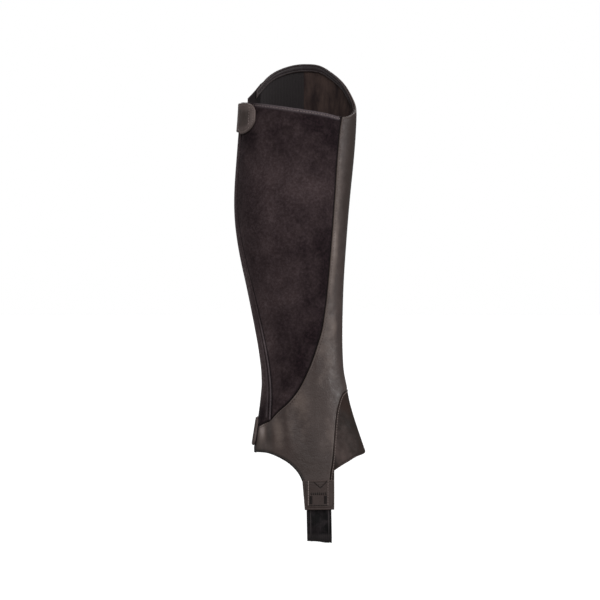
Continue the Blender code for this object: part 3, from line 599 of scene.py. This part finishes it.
def seam_lines(cut, sewn, inset=STITCH_INSET, rise=STITCH_DEPTH):
    """Lines of stitches beside some of a panel's edges, with their outward directions."""
    rim = on_face(cut, cut.outline)
    inner = rim + inward(rim, cut.outline) * inset
    reach, _ = from_edge(inner, rim)
    kept = sewn & (reach > inset * INSET_SLACK)
    out = out_of_face(cut, cut.outline)
    inner = inner + out * rise
    breaks = [i for i in range(len(inner)) if not kept[i]]
    start = breaks[0] if breaks else 0
    order = [(start + i) % len(inner) for i in range(len(inner) + (0 if breaks else 1))]
    lines, run = [], []
    for i in order:
        if kept[i]:
            run.append(i)
        elif run:
            lines.append(run)
            run = []
    if run:
        lines.append(run)
    return [(inner[line], out[line]) for line in lines if len(line) > 2]


def line_on(cut, corners):
    """A line across a panel's face through places of the pattern, with its outward directions."""
    corners = np.array(corners, float)
    along = lengths_along(corners)
    at = np.linspace(0, along[-1], max(2, round(along[-1]) + 1))
    places = read_along(corners, along, at)
    return on_face(cut, places, LINE_HEIGHT), out_of_face(cut, places)


def side_place(forward, height, outer_side):
    """The place on the pattern of a point on one side of the form, from how far forward and how high it is."""
    angles = np.linspace(0, math.pi, HALF_TURN_STEPS)
    forwards = leg.bare(angles, np.full(HALF_TURN_STEPS, height))[:, 0]
    angle = np.interp(forward, forwards, angles)
    return (FULL_TURN - angle if outer_side else angle) * RING, height


def band_faces(rings, sides):
    """The quads of a tube of rings, each with some sides."""
    return [(r * sides + k, r * sides + (k + 1) % sides, (r + 1) * sides + (k + 1) % sides, (r + 1) * sides + k)
            for r in range(rings - 1) for k in range(sides)]


def rods(name, places, finish, length, radius):
    """Short rounded rods whose ends sink a little, joined in one mesh: stitches, or turns of a zip's coil."""
    middle, direction, outward = (np.array(part) for part in zip(*places))
    aside = np.cross(outward, direction)
    rings = []
    for ring in ROD_RINGS:
        centre = middle + direction * ring.along * length + outward * ring.rise * radius
        for angle in np.arange(ROD_SIDES) * FULL_TURN / ROD_SIDES:
            rings.append(centre + ring.radius * radius * (aside * math.cos(angle) + outward * math.sin(angle)))
    points = np.stack(rings, axis=1).reshape(-1, 3)
    each = len(rings)
    one = [*band_faces(len(ROD_RINGS), ROD_SIDES),
           tuple(range(ROD_SIDES))[::-1], tuple(range(each - ROD_SIDES, each))]
    faces = [tuple(i * each + v for v in face) for i in range(len(middle)) for face in one]
    mesh = bpy.data.meshes.new(name)
    mesh.from_pydata((points * MM).tolist(), [], faces)
    mesh.materials.append(finish)
    mesh.shade_smooth()
    return place_piece(name, mesh)


def stitch_places(lines, pitch, across=False):
    """Middles, directions and outward directions of stitches spaced along lines, or lying across them."""
    places = []
    for line, out in lines:
        along = lengths_along(line)
        count = max(1, int(along[-1] / pitch))
        at = (np.arange(count) + 0.5) * along[-1] / count
        ahead = read_along(line, along, at + AHEAD) - read_along(line, along, at - AHEAD)
        ahead /= np.linalg.norm(ahead, axis=1)[:, None]
        outward = read_along(out, along, at)
        places += list(zip(read_along(line, along, at), np.cross(ahead, outward) if across else ahead, outward))
    return places


def stitching(name, lines, thread, stitch, across=False):
    """All the stitches of some lines in one mesh."""
    return rods(name, stitch_places(lines, stitch.pitch, across), thread, stitch.length, stitch.radius)


# Finishes

def linear(colour):
    """An sRGB hex colour as linear red, green, blue and alpha."""
    parts = [int(colour[i:i + 2], 16) / 255 for i in (1, 3, 5)]
    return (*[p / 12.92 if p <= 0.04045 else ((p + 0.055) / 1.055) ** 2.4 for p in parts], 1)


def add(tree, kind, settings, links=None):
    """Adds a node, with its settings and what is linked to it."""
    node = tree.nodes.new(kind)
    for name, value in settings.items():
        if isinstance(name, int) or name in node.inputs:
            node.inputs[name].default_value = value
        else:
            setattr(node, name, value)
    for name, source in (links or {}).items():
        tree.links.new(source, node.inputs[name])
    return node


def new_finish(name):
    """An empty material, its tree, its shader and the place of each point in metres."""
    material = bpy.data.materials.new(name)
    material.use_nodes = True
    tree = material.node_tree
    shader = tree.nodes["Principled BSDF"]
    where = add(tree, "ShaderNodeTexCoord", {}).outputs["Object"]
    return material, tree, shader, where


def set_shader(shader, **values):
    """Sets sockets of a shader by their names."""
    for name, value in values.items():
        shader.inputs[name.replace("_", " ")].default_value = value


def finish_edges(tree, shader, tone, worn, shade_and_paint_colour):
    """The colour of a panel: paler on its cut edges by rubbing, on some edges also by painted highlight, with
    painted shade where it goes under its neighbour and in a stitch groove, and a dark painted low edge.
    """
    wear_and_highlight = add(tree, "ShaderNodeAttribute", {"attribute_name": "wear_and_highlight"})
    shade = add(tree, "ShaderNodeAttribute", {"attribute_name": "shade"})
    scuffs = add(tree, "ShaderNodeTexNoise", {"Scale": 1 / 0.007, "Detail": 4.0, "Roughness": 0.65})
    scuffed = add(tree, "ShaderNodeMapRange", {"From Min": 0.36, "From Max": 0.56, "To Min": 0.35},
                  {"Value": scuffs.outputs[0]})
    uneven = add(tree, "ShaderNodeMath", {"operation": "MULTIPLY"},
                 {0: wear_and_highlight.outputs["Fac"], 1: scuffed.outputs[0]})
    rubbed = add(tree, "ShaderNodeMix", {"data_type": "RGBA", 7: linear(worn)},
                 {0: uneven.outputs[0], 6: tone})
    shade_and_paint_mix = add(tree, "ShaderNodeMix", {"data_type": "RGBA", 7: linear(shade_and_paint_colour)},
               {0: shade.outputs["Fac"], 6: rubbed.outputs[2]})
    tree.links.new(shade_and_paint_mix.outputs[2], shader.inputs["Base Color"])


def smooth_leather(name, colour, dark, light, roughness, gloss):
    """Full-grain leather, dyed through and given wax: a soft wide gloss over a fine grain, paler where it is
    rubbed and dark where the wax has stayed, with painted highlights and painted shade from the listed strokes;
    its palest stage is painted highlight."""
    material, tree, shader, where = new_finish(name)
    set_shader(shader, Roughness=roughness, IOR=1.5, Specular_IOR_Level=gloss)
    # The dye is uneven over 35 mm, and the wax over 9 mm
    tone = add(tree, "ShaderNodeTexNoise", {"Scale": 1 / 0.035, "Detail": 3.0, "Roughness": 0.55},
               {"Vector": where})
    tone_share = add(tree, "ShaderNodeMapRange", {"From Min": 0.35, "From Max": 0.7},
                     {"Value": tone.outputs[0]})
    cloudy = add(tree, "ShaderNodeMix", {"data_type": "RGBA", 6: linear(dark), 7: linear(colour)},
                 {0: tone_share.outputs[0]})
    # The listed strokes lift and lower the tone: paler is rubbing and painted highlight, darker is wax and
    # painted shade, and the palest stage is painted highlight
    lie = add(tree, "ShaderNodeAttribute", {"attribute_name": "tone"})
    blotches = add(tree, "ShaderNodeTexNoise", {"Scale": 1 / 0.009, "Detail": 4.0, "Roughness": 0.6},
                   {"Vector": where})
    mottled = add(tree, "ShaderNodeMath", {"operation": "MULTIPLY_ADD", 1: 1.4},
                  {0: blotches.outputs[0], 2: lie.outputs["Fac"]})
    lifted = add(tree, "ShaderNodeMapRange", {"From Min": 0.72, "From Max": 1.6},
                 {"Value": mottled.outputs[0]})
    lowered = add(tree, "ShaderNodeMapRange", {"From Min": 0.68, "From Max": -0.3, "To Max": 0.9},
                  {"Value": mottled.outputs[0]})
    rubbed = add(tree, "ShaderNodeMix", {"data_type": "RGBA", 7: linear(light)},
                 {0: lifted.outputs[0], 6: cloudy.outputs[2]})
    waxed_and_shaded = add(tree, "ShaderNodeMix", {"data_type": "RGBA", 7: linear("#2a1c16")},
                {0: lowered.outputs[0], 6: rubbed.outputs[2]})
    leather_highlight_share = add(tree, "ShaderNodeMapRange", {"From Min": 1.7, "From Max": 3.4},
                {"Value": mottled.outputs[0]})
    painted_highlight = add(tree, "ShaderNodeMix", {"data_type": "RGBA", 7: linear("#988b86")},
                  {0: leather_highlight_share.outputs[0], 6: waxed_and_shaded.outputs[2]})
    # Its darkest colour is painted shade under a neighbour's edge, and the paint of the leather's low edge
    finish_edges(tree, shader, painted_highlight.outputs[2], light, "#120d0c")
    # Pores lie about 0.4 mm apart in life and are drawn 1.3 mm apart, so that they show
    pores = add(tree, "ShaderNodeTexVoronoi", {"Scale": 1 / 0.0013, "feature": "SMOOTH_F1", "Smoothness": 0.6},
                {"Vector": where})
    wrinkle = add(tree, "ShaderNodeTexNoise", {"Scale": 1 / 0.006, "Detail": 5.0, "Roughness": 0.6},
                  {"Vector": where})
    relief = add(tree, "ShaderNodeMath", {"operation": "MULTIPLY_ADD", 1: 0.35},
                 {0: pores.outputs["Distance"], 2: wrinkle.outputs[0]})
    bump = add(tree, "ShaderNodeBump", {"Strength": 0.5, "Distance": 0.0006},
               {"Height": relief.outputs[0]})
    tree.links.new(bump.outputs[0], shader.inputs["Normal"])
    polish = add(tree, "ShaderNodeMapRange", {"From Min": 0.3, "From Max": 0.7, "To Min": roughness - 0.08,
                                              "To Max": roughness + 0.12}, {"Value": wrinkle.outputs[0]})
    tree.links.new(polish.outputs[0], shader.inputs["Roughness"])
    return material


def suede(name):
    """Brushed suede: no gloss, a soft nap that lies lighter and darker in patches where a hand has stroked it,
    with pale tufts where it stands up most. The listed strokes add real nap patches, painted shadows on its
    dark side and a painted highlight on its palest tufts."""
    material, tree, shader, where = new_finish(name)
    set_shader(shader, Roughness=0.95, Sheen_Weight=0.2, Sheen_Roughness=0.35, Sheen_Tint=linear("#94888a"),
               Specular_IOR_Level=0.15)
    # A hand's strokes leave patches of about 22 mm
    strokes = add(tree, "ShaderNodeTexNoise",
                  {"Scale": 1 / 0.022, "Detail": 5.0, "Roughness": 0.65, "Distortion": 0.3}, {"Vector": where})
    # Listed strokes shift the nap: the dark side holds painted shadows, and the pale stage is painted highlight
    lie = add(tree, "ShaderNodeAttribute", {"attribute_name": "tone"})
    stroked = add(tree, "ShaderNodeMath", {"operation": "MULTIPLY_ADD", 1: 0.3},
                  {0: lie.outputs["Fac"], 2: strokes.outputs[0]})
    stroke_share = add(tree, "ShaderNodeMapRange", {"From Min": 0.17, "From Max": 0.86},
                       {"Value": stroked.outputs[0]})
    stroked_nap_and_shade = add(tree, "ShaderNodeMix", {"data_type": "RGBA", 6: linear("#140c0f"), 7: linear("#403334")},
               {0: stroke_share.outputs[0]})
    # Tufts of nap are well under 1 mm and are drawn 2.8 mm across, so that they show
    tufts = add(tree, "ShaderNodeTexNoise", {"Scale": 1 / 0.0028, "Detail": 6.0, "Roughness": 0.8},
                {"Vector": where})
    tuft_share = add(tree, "ShaderNodeMapRange", {"From Min": 0.43, "From Max": 0.62, "To Max": 0.72},
                     {"Value": tufts.outputs[0]})
    tuft_tone = add(tree, "ShaderNodeMix", {"data_type": "RGBA", 6: linear("#2e2125"), 7: linear("#574b4d")},
                    {0: stroke_share.outputs[0]})
    nap_highlight_share = add(tree, "ShaderNodeMapRange", {"From Min": 0.86, "From Max": 1.4},
                     {"Value": stroked.outputs[0]})
    tufts_and_painted_highlight = add(tree, "ShaderNodeMix", {"data_type": "RGBA", 7: linear("#8b7d7e")},
                  {0: nap_highlight_share.outputs[0], 6: tuft_tone.outputs[2]})
    napped = add(tree, "ShaderNodeMix", {"data_type": "RGBA"},
                 {0: tuft_share.outputs[0], 6: stroked_nap_and_shade.outputs[2], 7: tufts_and_painted_highlight.outputs[2]})
    # Its darkest colour is painted shade beside sewn-in edges and in the plackets' stitch groove
    finish_edges(tree, shader, napped.outputs[2], "#7a7074", "#0d0809")
    bump = add(tree, "ShaderNodeBump", {"Strength": 0.6, "Distance": 0.0006}, {"Height": tufts.outputs[0]})
    tree.links.new(bump.outputs[0], shader.inputs["Normal"])
    return material


def flesh_side(name, colour, dark):
    """The unfinished back of leather: matt and fibrous, with soft streaks along the leg."""
    material, tree, shader, where = new_finish(name)
    set_shader(shader, Roughness=0.9, Specular_IOR_Level=0.25)
    drawn = add(tree, "ShaderNodeMapping", {"Scale": (1, 1, 0.3)}, {"Vector": where})
    fibre = add(tree, "ShaderNodeTexNoise", {"Scale": 1 / 0.009, "Detail": 5.0, "Roughness": 0.6},
                {"Vector": drawn.outputs[0]})
    share = add(tree, "ShaderNodeMapRange", {"From Min": 0.35, "From Max": 0.68},
                {"Value": fibre.outputs[0]})
    tone = add(tree, "ShaderNodeMix", {"data_type": "RGBA", 6: linear(dark), 7: linear(colour)},
               {0: share.outputs[0]})
    tree.links.new(tone.outputs[2], shader.inputs["Base Color"])
    bump = add(tree, "ShaderNodeBump", {"Strength": 0.5, "Distance": 0.0004}, {"Height": fibre.outputs[0]})
    tree.links.new(bump.outputs[0], shader.inputs["Normal"])
    return material


def ribbed_knit(name, colour, light, rib):
    """Stretch knit or woven tape: matt, with fine ribs up the leg, a given distance apart in metres."""
    material, tree, shader, where = new_finish(name)
    set_shader(shader, Roughness=0.8, Sheen_Weight=0.15, Sheen_Roughness=0.5, Specular_IOR_Level=0.3)
    ribs = add(tree, "ShaderNodeTexWave", {"Scale": math.pi / 10 / rib, "Distortion": 0.6, "Detail": 2.0,
                                           "bands_direction": "X"}, {"Vector": where})
    tone = add(tree, "ShaderNodeMix", {"data_type": "RGBA", 6: linear(colour), 7: linear(light)},
               {0: ribs.outputs["Fac"]})
    tree.links.new(tone.outputs[2], shader.inputs["Base Color"])
    bump = add(tree, "ShaderNodeBump", {"Strength": 0.5, "Distance": 0.0004}, {"Height": ribs.outputs["Fac"]})
    tree.links.new(bump.outputs[0], shader.inputs["Normal"])
    return material


def elastic_weave(name, colour, light):
    """Braided rubber elastic: near black, with fine cross threads and a soft uneven sheen where it is
    stretched."""
    material, tree, shader, where = new_finish(name)
    set_shader(shader, Roughness=0.7, Specular_IOR_Level=0.15)
    # Cross threads lie about 0.5 mm apart in life and are drawn 1.1 mm apart, so that they show
    threads = add(tree, "ShaderNodeTexWave", {"Scale": math.pi / 10 / 0.0011, "Distortion": 1.5, "Detail": 2.0,
                                              "bands_direction": "Z"}, {"Vector": where})
    pulled = add(tree, "ShaderNodeTexNoise", {"Scale": 1 / 0.008, "Detail": 2.0, "Distortion": 0.5},
                 {"Vector": where})
    share = add(tree, "ShaderNodeMapRange", {"From Min": 0.42, "From Max": 0.62},
                {"Value": pulled.outputs[0]})
    tone = add(tree, "ShaderNodeMix", {"data_type": "RGBA", 6: linear(colour), 7: linear(light)},
               {0: share.outputs[0]})
    finish_edges(tree, shader, tone.outputs[2], "#474142", colour)
    relief = add(tree, "ShaderNodeMath", {"operation": "MULTIPLY_ADD", 1: 0.3},
                 {0: threads.outputs["Fac"], 2: pulled.outputs[0]})
    bump = add(tree, "ShaderNodeBump", {"Strength": 0.4, "Distance": 0.0004}, {"Height": relief.outputs[0]})
    tree.links.new(bump.outputs[0], shader.inputs["Normal"])
    return material


def thread_finish(name, colour, light):
    """Bonded nylon: a twisted strand with a slight shine."""
    material, tree, shader, where = new_finish(name)
    set_shader(shader, Roughness=0.6, Specular_IOR_Level=0.25)
    twist = add(tree, "ShaderNodeTexNoise", {"Scale": 1 / 0.0006, "Detail": 1.0}, {"Vector": where})
    tone = add(tree, "ShaderNodeMix", {"data_type": "RGBA", 6: linear(colour), 7: linear(light)},
               {0: twist.outputs[0]})
    tree.links.new(tone.outputs[2], shader.inputs["Base Color"])
    return material


def dark_metal(name):
    """Die-cast zinc, plated a dark nickel and tumbled: smooth, with rubbed brighter patches."""
    material, tree, shader, where = new_finish(name)
    set_shader(shader, Metallic=1.0, Roughness=0.32)
    rubs = add(tree, "ShaderNodeTexNoise", {"Scale": 1 / 0.002, "Detail": 3.0}, {"Vector": where})
    tone = add(tree, "ShaderNodeMix", {"data_type": "RGBA", 6: linear("#3a3836"), 7: linear("#77736e")},
               {0: rubs.outputs[0]})
    tree.links.new(tone.outputs[2], shader.inputs["Base Color"])
    return material


leather = smooth_leather("Waxed full-grain leather", "#443733", "#382c29", "#62554f", 0.45, 0.42)
tongue_leather = smooth_leather("Matt instep leather", "#2c2320", "#231c19", "#4a3e3b", 0.62, 0.15)
tab_leather = smooth_leather("Waxed tab leather", "#4b3f3b", "#3d332f", "#766764", 0.55, 0.35)
# The patches' leather is a darker copy of the panel's: painted shade for the dim foot of the strap tab
shaded_patch_leather = smooth_leather("Doubled patch leather", "#3b2f2c", "#312724", "#4a3d3a", 0.55, 0.3)
band_leather = smooth_leather("Thin band leather", "#2c2225", "#20181a", "#423736", 0.5, 0.35)
calf_suede = suede("Brushed calf suede")
leather_back = flesh_side("Brown flesh side", "#4a3b36", "#241a1a")
suede_back = flesh_side("Dark flesh side", "#211a1c", "#151112")
knit = ribbed_knit("Black stretch knit", "#1c1718", "#262122", 0.0016)
tape_weave = ribbed_knit("Woven zip tape", "#161415", "#262324", 0.0008)
webbing = elastic_weave("Black elastic webbing", "#0a0809", "#241f21")
dark_thread = thread_finish("Dark bonded thread", "#120c0b", "#241b19")
brown_thread = thread_finish("Brown bonded thread", "#564a46", "#7b6d69")
leather_thread = thread_finish("Leather-brown bonded thread", "#332926", "#463934")
pale_thread = thread_finish("Rubbed bonded thread", "#71635f", "#9a8c88")
coil_nylon = thread_finish("Black coil nylon", "#121112", "#3a3838")
metal = dark_metal("Dark plated zinc")


# Garment

def top_edge_only(points, along):
    """A calf panel's top hem."""
    return (points[:, 2] > TOP_EDGE_ABOVE) & (abs(along[:, 2]) < LEVEL)


def upright_and_top(points, along):
    """A placket's two long edges and its top."""
    return (abs(along[:, 2]) > UPRIGHT) | (points[:, 2] > PLACKET_TOP_ABOVE)


def tongue_hem_only(points, along):
    """The instep piece's hem, from where it comes out from under the leather."""
    hem = (points[:, 0] > TONGUE_HEM_FROM) | (points[:, 2] < TONGUE_TIP_BELOW)
    return (points[:, 2] < TONGUE_HEM_BELOW) & hem


def not_at_root(points, along):
    """A tab's free edges, away from the seam on the outer side that holds its root."""
    return points[:, 1] < TAB_ROOT


def read_cuts():
    """Every wall of cloth or leather, by its node."""
    free_edges = {
        "suede_panel": top_edge_only, "stretch_panel": top_edge_only,
        "instep_tongue": tongue_hem_only, "top_tab": not_at_root,
        "inner_placket": upright_and_top, "outer_placket": upright_and_top,
    }
    cuts = {node: read_cut(node, free_edges.get(node)) for node in (*PANELS, *LAYERS)}
    cuts["top_facing"] = read_cut("top_facing", side=-1)
    return cuts


def build_panels(cuts):
    """The shown piece for each wall, in its finish and with its own kind of edge."""
    finishes = {
        "leather_panel": (leather, leather_back), "instep_tongue": (tongue_leather, leather_back),
        "suede_panel": (calf_suede, suede_back), "stretch_panel": (knit, knit),
        "inner_placket": (calf_suede, suede_back), "outer_placket": (calf_suede, suede_back),
        "top_facing": (band_leather, band_leather), "top_tab": (tab_leather, leather_back),
        "heel_tab": (tab_leather, leather_back), "inner_patch": (shaded_patch_leather, leather_back),
        "outer_patch": (shaded_patch_leather, leather_back), "inner_zip_tape": (tape_weave, tape_weave),
        "outer_zip_tape": (tape_weave, tape_weave), "zip_chain": (tape_weave, tape_weave),
    }
    placket = {"relief": PLACKET_RIDGE, "rubbed": RIDGE_WEAR_HIGHLIGHT_AND_GROOVE_SHADE, "stitched": RIDGED_EDGE}
    woven = {"relief": WOVEN_RELIEF}
    edges = {
        "leather_panel": {"rubbed": WORN_HEM, "stitched": TIGHT_EDGE, "painted": True},
        "suede_panel": {"rubbed": TOP_HEM_WEAR_AND_HIGHLIGHT}, "inner_placket": placket, "outer_placket": placket,
        "instep_tongue": {"sewn_in": RAISED_SEAM, "shaded": SHADED_CLOSE},
        "top_tab": {"rubbed": BORDER_WEAR_AND_HIGHLIGHT}, "heel_tab": {"rubbed": WORN_HEM},
        "inner_zip_tape": woven, "outer_zip_tape": woven, "zip_chain": woven,
    }
    for node, cut in cuts.items():
        if node == "zip_chain":
            cut = cut._replace(face=cut.face - np.array((0, COIL_ROOM)))
        shown = panel(f"{node}_shown", cut, *finishes[node], creased=0.0 if node in LAYERS else 1.0,
                      **edges.get(node, {}))
        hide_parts(node)


def edges_to_stitch(node, cut):
    """Which edges of a panel carry stitches: of the leather all but its edge at the instep, where the stitches
    are the instep piece's own, and of the rest the free ones."""
    if node != "leather_panel":
        return cut.free
    rim = on_face(cut, cut.outline)
    low, high = INSTEP_EDGE
    faces_forward = inward(rim, cut.outline)[:, 0] < FACES_FORWARD
    return ~(faces_forward & (rim[:, 2] > low) & (rim[:, 2] < high))


def build_stitching(cuts):
    """The rows of stitches along the panels' edges, across the tab and the facing, and on the patches."""
    threads = {"suede_panel": pale_thread, "top_tab": pale_thread, "heel_tab": pale_thread,
               "leather_panel": leather_thread}
    across = {"top_tab": TAB_LINE, "top_facing": FACING_LINE}
    for node, cut in cuts.items():
        if node.endswith(("zip_chain", "zip_tape", "patch")):
            continue
        lines = seam_lines(cut, edges_to_stitch(node, cut))
        stitch = TAB_STITCH if node in ("top_tab", "heel_tab") else PANEL_STITCH
        if node in across:
            ends = [(math.radians(degrees) * RING, height) for degrees, height in across[node]]
            lines.append(line_on(cut, ends))
        stitching(f"{node}_stitching", lines, threads.get(node, dark_thread), stitch)
    tongue = cuts["instep_tongue"]
    beside = seam_lines(tongue, ~tongue.free, SEAM_INSET, SEAM_HEIGHT)
    stitching("instep_seam_stitching", beside, brown_thread, SEAM_STITCH)
    build_box_stitching("inner_patch", cuts["inner_patch"], outer_side=False)
    build_box_stitching("outer_patch", cuts["outer_patch"], outer_side=True)


def build_box_stitching(node, cut, outer_side):
    """The box of stitches on a patch: two upright rows, a pointed top, a foot, short dashes and two tacks."""
    def drawn(*corners):
        return line_on(cut, [side_place(*corner, outer_side) for corner in corners])

    # The pale back row is near continuous and stands in for the highlight on the patch's folded edge: a painted
    # highlight in pale thread
    pale, brown = ([drawn((x, BOX_TOP), (x, BOX_FOOT))] for x in (BOX_BACK, BOX_FRONT))
    dark = [drawn(*BOX_POINTS), drawn((BOX_BACK, BOX_FOOT), (BOX_FRONT, BOX_FOOT))]
    dashes = [drawn((x, DASH_HEIGHT), (x, DASH_HEIGHT - DASH_LENGTH))
              for x in np.linspace(DASH_BACK, DASH_FRONT, DASHES)]
    tacks = [drawn((x, TACK_TOP), (x, TACK_FOOT)) for x in (TACK_BACK, TACK_FRONT)]
    stitching(f"{node}_pale_stitching", pale, pale_thread, BOX_STITCH)
    stitching(f"{node}_brown_stitching", brown, brown_thread, BOX_STITCH)
    stitching(f"{node}_dark_stitching", dark, dark_thread, BOX_STITCH)
    stitching(f"{node}_dashes", dashes, dark_thread, DASH_STITCH)
    stitching(f"{node}_tacks", tacks, dark_thread, TACK_STITCH, across=True)


def keep_node(node, finish):
    """Shows a hard CAD piece with rounded edges and its own finish."""
    piece = nodes[node]
    piece.data.materials.clear()
    piece.data.materials.append(finish)
    rounding = piece.modifiers.new("rounding", "BEVEL")
    rounding.width = BEVEL * MM
    rounding.segments = BEVEL_PARTS
    rounding.limit_method = "ANGLE"
    piece.data.shade_smooth()


def build_coil(cut):
    """The zip's nylon coil: two rows of turns that mesh along the middle of the chain."""
    low, high = cut.outline[:, 1].min() + COIL_END, cut.outline[:, 1].max() - COIL_END
    heights = np.arange(low, high, COIL_PITCH / 2)
    spans = [cut.outline[abs(cut.outline[:, 1] - height) < COIL_BAND][:, 0] for height in heights]
    middle = np.array([(span.min() + span.max()) / 2 for span in spans])
    evened = 2 * COIL_EVENED + 1
    middle = np.convolve(np.pad(middle, COIL_EVENED, "edge"), np.ones(evened) / evened, "valid")
    places = np.stack((middle, heights), axis=1)
    out = out_of_face(cut, places)
    centre = on_face(cut, places, -COIL_RADIUS)
    up = np.gradient(centre, axis=0)
    up /= np.linalg.norm(up, axis=1)[:, None]
    across = np.cross(up, out)
    side = np.where(np.arange(len(heights)) % 2, 1.0, -1.0)[:, None]
    lean = across + side * up * COIL_LEAN
    turns = list(zip(centre + side * across * COIL_LENGTH * COIL_OFFSET, lean, out))
    rods("zip_coil", turns, coil_nylon, COIL_LENGTH, COIL_RADIUS)


def build_zip(cuts):
    """The zip's metal parts in their finish, and its coil."""
    for node in ("zip_slider", "pull_tab", "zip_box"):
        keep_node(node, metal)
    build_coil(cuts["zip_chain"])


def resample(line, count):
    """A line of points with even steps, and how far along it each lies."""
    along = lengths_along(line)
    at = np.linspace(0, along[-1], count)
    return read_along(line, along, at), at


def strap_edges(rim):
    """The front and the rear edge of one skin of the elastic, each from the leg's inner side to its outer."""
    edges = []
    middle, half = rim[:, 0].mean(), np.ptp(rim[:, 0]) / 2
    for way in (1, -1):
        run = [p for p in rim if (p[0] - middle) * way > half * EDGE_SHARE]
        start = max(range(len(run)), key=lambda i: np.linalg.norm(run[i] - run[i - 1]))
        run = np.array(run[start:] + run[:start])
        edges.append(run if run[0][1] < run[-1][1] else run[::-1])
    return edges


def build_strap():
    """The elastic: a thick webbing with raised ribs, plain selvedges and soft puckers."""
    across = np.linspace(0, STRAP_REACH, STRAP_LINES)
    layers = []
    for _, rim, _ in wall_skins("elastic_strap"):
        (front, at), (rear, _) = (resample(edge, STRAP_ROWS) for edge in strap_edges(rim))
        layers.append(front[:, None] + (rear - front)[:, None] * across[None, :, None])
    outer, inner = layers
    out = outer - inner
    out = out / np.linalg.norm(out, axis=2, keepdims=True)
    width = np.linalg.norm(outer[0, -1] - outer[0, 0])
    place = across * width
    from_selvedge = np.minimum(place, width - place) - SELVEDGE
    ribbed = np.clip(from_selvedge / RIB_FADE, 0, 1)
    ribs = RIB_HEIGHT * np.cos(place * FULL_TURN / RIB_PITCH) * ribbed
    groove = -GROOVE_DEPTH * np.exp(-(from_selvedge / GROOVE_WIDTH) ** 2)
    # Puckers run slantwise over the ribbed middle and wander along it
    along = at[:, None]
    pucker = PUCKER * np.sin(along / 5.3 + place * 0.32 + 1.3 * np.sin(along / 17)) * ribbed
    face = outer + out * (ribs + groove + pucker - FACE_SUNK)[:, :, None]
    back = inner + out * (BACK_SUNK - ribs + pucker * 0.8)[:, :, None]
    points = np.concatenate((face, back[:, ::-1]), axis=1).reshape(-1, 3)
    ring = 2 * STRAP_LINES
    faces = [*band_faces(STRAP_ROWS, ring),
             tuple(range(ring))[::-1], tuple(range(len(points) - ring, len(points)))]
    mesh = bpy.data.meshes.new("elastic_strap_shown")
    mesh.from_pydata((points * MM).tolist(), [], faces)
    mesh.materials.append(webbing)
    # Paler on the first rib inside each selvedge, and in a band near the foot, where the strap turns under the
    # boot
    rubbed = np.exp(-((from_selvedge - 0.9) / 0.5) ** 2)
    turned = 0.75 * np.exp(-((points[:, 2] - points[:, 2].min() - 7.0) / 4.5) ** 4)
    rubbed = np.maximum(np.tile(np.concatenate((rubbed, rubbed[::-1])), STRAP_ROWS), turned)
    mark_points(mesh, {"wear_and_highlight": rubbed, "shade": rubbed * 0})
    mesh.shade_smooth()
    mesh.set_sharp_from_angle(angle=math.radians(60))
    shown = place_piece("elastic_strap_shown", mesh)
    built = bmesh.new()
    built.from_mesh(mesh)
    bmesh.ops.recalc_face_normals(built, faces=built.faces)
    built.to_mesh(mesh)
    built.free()
    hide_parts("elastic_strap")


# Studio

def build_studio():
    """White paper under a soft key from the front, with weaker soft lights from both sides and behind."""
    world = bpy.data.worlds.new("Soft white studio")
    bpy.context.scene.world = world
    world.use_nodes = True
    tree = world.node_tree
    sky = tree.nodes["Background"]
    sky.inputs["Color"].default_value = (1, 1, 1, 1)
    seen = add(tree, "ShaderNodeLightPath", {})
    level = add(tree, "ShaderNodeMapRange", {"To Min": 0.19, "To Max": 1.0},
                {"Value": seen.outputs["Is Camera Ray"]})
    tree.links.new(level.outputs[0], sky.inputs["Strength"])
    mesh = bpy.data.meshes.new("Floor")
    corners = [(x * FLOOR_HALF, y * FLOOR_HALF, FLOOR_HEIGHT) for x, y in ((-1, -1), (1, -1), (1, 1), (-1, 1))]
    mesh.from_pydata(corners, [], [(0, 1, 2, 3)])
    paper = bpy.data.materials.new("Backlit white paper")
    paper.use_nodes = True
    set_shader(paper.node_tree.nodes["Principled BSDF"], Base_Color=(0.94, 0.94, 0.94, 1), Roughness=0.95,
               Emission_Color=(1, 1, 1, 1), Emission_Strength=0.35)
    mesh.materials.append(paper)
    floor = bpy.data.objects.new("Floor", mesh)
    floor.visible_diffuse = False
    floor.visible_glossy = False
    bpy.context.scene.collection.objects.link(floor)
    lamps = (
        ("Front key", (0.25, -1.0, 0.65), 1.75, 60),
        ("Toe side strip", (0.98, -0.18, 0.16), 1.55, 34),
        ("Heel side fill", (-1.0, -0.3, 0.25), 0.6, 50),
        ("Back fill", (0.0, 1.0, 0.6), 1.2, 50),
    )
    for name, away, strength, width in lamps:
        lamp = bpy.data.lights.new(name, "SUN")
        lamp.energy = strength
        lamp.angle = math.radians(width)
        holder = bpy.data.objects.new(name, lamp)
        holder.rotation_euler = Vector(away).to_track_quat("Z", "Y").to_euler()
        bpy.context.scene.collection.objects.link(holder)


def build_camera():
    """The photograph's view: level, square on to the inner side, 1.03 mm of the object to a pixel of 600."""
    aim, distance, sensor = Vector((0.00815, 0, -0.103)), 2.2, 36.0
    pixels, mm_per_pixel = 600, 1.03
    data = bpy.data.cameras.new("Camera")
    data.sensor_width = sensor
    data.lens = sensor * distance / (pixels * mm_per_pixel * MM)
    camera = bpy.data.objects.new("Camera", data)
    camera.location = aim + Vector((0, -distance, 0))
    camera.rotation_euler = (math.pi / 2, 0, 0)
    bpy.context.scene.collection.objects.link(camera)
    bpy.context.scene.camera = camera
    bpy.context.scene.view_settings.view_transform = "Standard"


cuts = read_cuts()
build_panels(cuts)
build_stitching(cuts)
build_zip(cuts)
build_strap()
build_studio()
build_camera()
